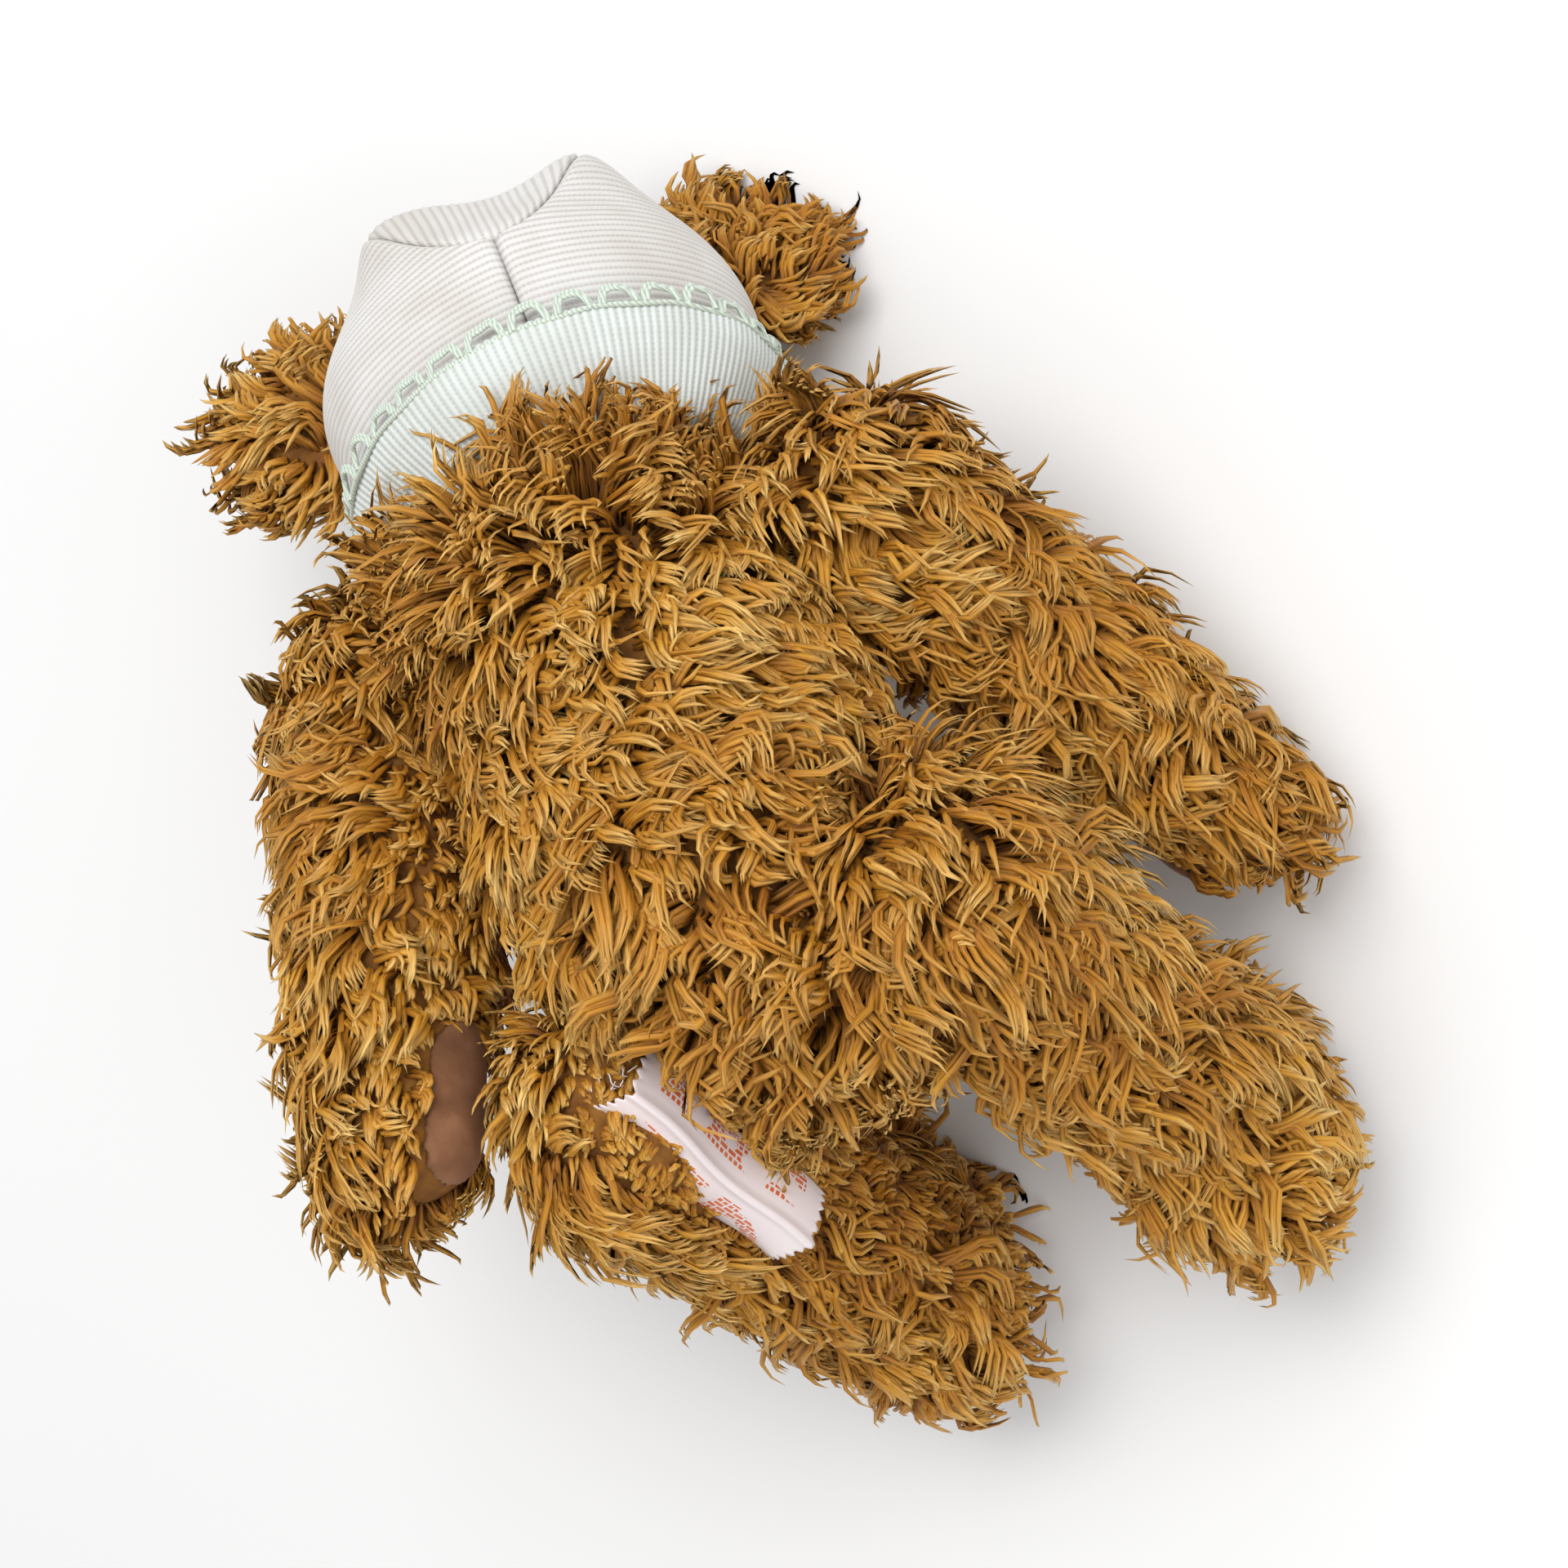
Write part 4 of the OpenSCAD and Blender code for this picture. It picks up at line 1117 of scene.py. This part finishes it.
class BEAR_OT_label(bpy.types.Operator):
    """Fold the satin care label and sew it into the left leg's seam"""

    bl_idname = "bear.label"
    bl_label = "Care label"

    def execute(self, context):
        wide, long_ = 30.0, 52.0
        rows, cols = 41, 61
        s = np.linspace(-wide / 2, wide / 2, rows)  # across the strip, 0 at the fold
        t = np.linspace(0, long_, cols)
        S, T = np.meshgrid(s, t, indexing="ij")
        half = wide / 2
        k = np.abs(S) / half
        spread = 0.25 + 10.5 * k**0.92 - 2.4 * k**3 + 0.5 * np.sin(T / 7.5 + S / 9) * k
        sink = half * (0.10 * np.minimum(k * 12, 1) + 0.58 * k) - 3.2
        ragged = 0.7 * np.sin(S * 2.3) * (np.abs(T - long_ / 2) > long_ / 2 - 1.2)
        bend = 1.2 * np.sin(T / long_ * math.pi) + 0.7 * np.sin(T / long_ * 2.3 * math.pi + 0.7)
        sway = 0.7 * np.sin(T / 6.0)
        p = (LABEL_FOLD + (T - 2.5 + ragged)[..., None] * LABEL_ALONG + (bend - sink)[..., None] * LABEL_OUT
             + (np.sign(S) * spread + sway)[..., None] * LABEL_ACROSS)
        uv = np.stack([T, S + half], -1)
        m = LEG[LEFT]
        o = grid_piece("care_label_satin", p, m, 0.25, uv)
        o.data.uv_layers["knit"].name = "label"
        finish_piece(o, "leg_left", satin_material(), "label_satin", "care_label")
        # loose threads at the cut ends
        rng = np.random.default_rng(3)
        paths = []
        for end, way in ((-2.5, -1), (long_ - 2.5, 1)):
            for _ in range(14):
                a = rng.uniform(-1, 1)
                q = np.linspace(0, 1, 7)[:, None]
                root = LABEL_FOLD + LABEL_ALONG * end - LABEL_OUT * (1.5 + 8.5 * abs(a)) + LABEL_ACROSS * 8.2 * a
                out = LABEL_ALONG * way * rng.uniform(0.8, 2.2) + rng.normal(0, 0.7, 3)
                paths.append(root + q * out + np.sin(q * 5 + a) * 0.3)
        f = tube("care_label_frayed_threads", paths, m, 0.13, 4)
        finish_piece(f, "leg_left", satin_material(), "label_satin")
        return {"FINISHED"}


class BEAR_OT_face(bpy.types.Operator):
    """Embroider the nose and mouth and polish the eyes"""

    bl_idname = "bear.face"
    bl_label = "Face"

    def execute(self, context):
        thread = finish("dark_embroidery_thread")
        paths = []
        # satin stitches side by side over a soft triangle on the muzzle's front
        for x in np.linspace(-6.2, 6.2, 17):
            tall = 7.6 * (1 - (abs(x) / 7.2) ** 1.6) + 1.0
            q = np.linspace(0, 1, 9)
            z = 9.0 - 0.02 * x * x - q * tall
            y = -np.sqrt(np.maximum((MUZZLE_R + 1.9) ** 2 - x**2 - z**2, 4)) - 0.5 * np.sin(q * np.pi)
            paths.append(np.stack([np.full(9, x), y, z], 1) + MUZZLE)
        nose = tube("embroidered_nose", paths, HEAD, 0.55, 6)
        finish_piece(nose, "head", thread, "embroidery", "nose")
        q = np.linspace(0, 1, 12)
        reach = MUZZLE_R + 1.2

        def on_muzzle(x, z):
            y = -np.sqrt(np.maximum(reach**2 - x**2 - z**2, 1))
            return np.stack([x, y, z], 1) + MUZZLE

        mouth = [on_muzzle(0 * q, 1.2 - 7.2 * q)]  # down from the nose, then out to both sides
        mouth += [on_muzzle(s * 8.5 * q, -6.0 - 3.2 * np.sin(q * np.pi * 0.55)) for s in (LEFT, RIGHT)]
        stitches = tube("embroidered_mouth", mouth, HEAD, 0.6, 6)
        finish_piece(stitches, "head", thread, "embroidery", "mouth_stitching")
        return {"FINISHED"}


class BEAR_OT_joints(bpy.types.Operator):
    """Finish the hidden stuffing, discs, washers and eyes"""

    bl_idname = "bear.joints"
    bl_label = "Joints and stuffing"

    def execute(self, context):
        looks = {word: finish(name) for word, name in
                 (("disc", "pressed_fibreboard"), ("washer", "zinc_plated_steel"), ("eye", "polished_safety_eye"))}
        fill = finish("polyester_fibre_fill")
        for name, o in frame["nodes"].items():
            m = next((look for word, look in looks.items() if word in name), None)
            if m is not None:
                o.data.materials.clear()
                o.data.materials.append(m)
        owner = {n: o["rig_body"] for n, o in frame["nodes"].items()}
        for node in [n for n in frame["nodes"] if n.endswith("stuffing")]:
            o = copy_node(node, f"{node}_fibre")
            apply_modifier(o, "Even mesh", "REMESH", mode="VOXEL", voxel_size=3.0 * MM)
            ruffle(o, 1.1, -0.6, 2.5, seed=9)
            finish_piece(o, owner[node], fill, "stuffing", node)
        return {"FINISHED"}


class BEAR_OT_stage(bpy.types.Operator):
    """Set the pale floor, the soft studio light and the camera"""

    bl_idname = "bear.stage"
    bl_label = "Stage"

    def execute(self, context):
        s = context.scene.bear_stage
        scene = context.scene
        only(frame["nodes"]["body_skin"])
        bpy.ops.object.select_all(action="DESELECT")
        bpy.ops.mesh.primitive_plane_add(size=8)
        floor = context.object
        floor.name = "floor"
        floor.data.materials.append(finish("matt_white_paper"))
        world = bpy.data.worlds.new("studio")
        scene.world = world
        world.use_nodes = True
        sky = world.node_tree.nodes["Background"].inputs
        sky["Color"].default_value, sky["Strength"].default_value = (1, 1, 1, 1), 0.66
        middle = BODY.translation
        for name, way, size, power in (("key", (0.25, 0.35, 1.0), 0.9, 9.0), ("fill", (0.7, -0.9, 0.8), 1.2, 3.5)):
            lamp = bpy.data.lights.new(name, "AREA")
            lamp.shape, lamp.size, lamp.energy = "DISK", size, power
            o = bpy.data.objects.new(name, lamp)
            scene.collection.objects.link(o)
            o.location = middle + Vector(way).normalized() * 1.1
            o.rotation_euler = (middle - o.location).to_track_quat("-Z", "Y").to_euler()
        back = Vector((0.3827, -0.1782, 0.9063)).normalized()
        right = Vector((0.7456, -0.5202, -0.4166))
        right = (right - right.dot(back) * back).normalized()
        up = back.cross(right)
        cam = bpy.data.objects.new("camera", bpy.data.cameras.new("camera"))
        scene.collection.objects.link(cam)
        cam.data.lens, cam.data.sensor_width = s.lens, 36
        cam.data.clip_start, cam.data.clip_end = 0.01, 20
        place_at = middle + back * s.distance + right * 19.8 * MM - up * 2.7 * MM
        turn_to = Matrix((right, up, back)).transposed().to_4x4()
        turn_to.translation = place_at
        cam.matrix_world = turn_to
        scene.camera = cam
        scene.view_settings.view_transform = "Standard"
        return {"FINISHED"}


class BEAR_PT_panel(bpy.types.Panel):
    """Lists the bear's settings and steps"""

    bl_idname = "BEAR_PT_panel"
    bl_label = "Jointed teddy bear"
    bl_space_type = "VIEW_3D"
    bl_region_type = "UI"
    bl_category = "Bear"

    def draw(self, context):
        for group in (context.scene.bear_plush, context.scene.bear_bonnet, context.scene.bear_stage):
            box = self.layout.box()
            for name in group.__annotations__:
                box.prop(group, name)
        for step in STEPS:
            self.layout.operator(step.bl_idname)


STEPS = (BEAR_OT_stage, BEAR_OT_stuffed_forms, BEAR_OT_pile, BEAR_OT_bonnet, BEAR_OT_trim, BEAR_OT_pads,
         BEAR_OT_label, BEAR_OT_face, BEAR_OT_joints)
SETTINGS = (("bear_plush", PlushSettings), ("bear_bonnet", BonnetSettings), ("bear_stage", StageSettings))


def register():
    for name, group in SETTINGS:
        bpy.utils.register_class(group)
        setattr(bpy.types.Scene, name, PointerProperty(type=group))
    for c in (*STEPS, BEAR_PT_panel):
        bpy.utils.register_class(c)


def unregister():
    for c in (BEAR_PT_panel, *reversed(STEPS)):
        bpy.utils.unregister_class(c)
    for name, group in SETTINGS:
        delattr(bpy.types.Scene, name)
        bpy.utils.unregister_class(group)


def main():
    register()
    for step in STEPS:
        area, name = step.bl_idname.split(".")
        if getattr(getattr(bpy.ops, area), name)() != {"FINISHED"}:
            raise RuntimeError(f"{step.bl_label} did not finish")


if __name__ == "__main__":
    main()
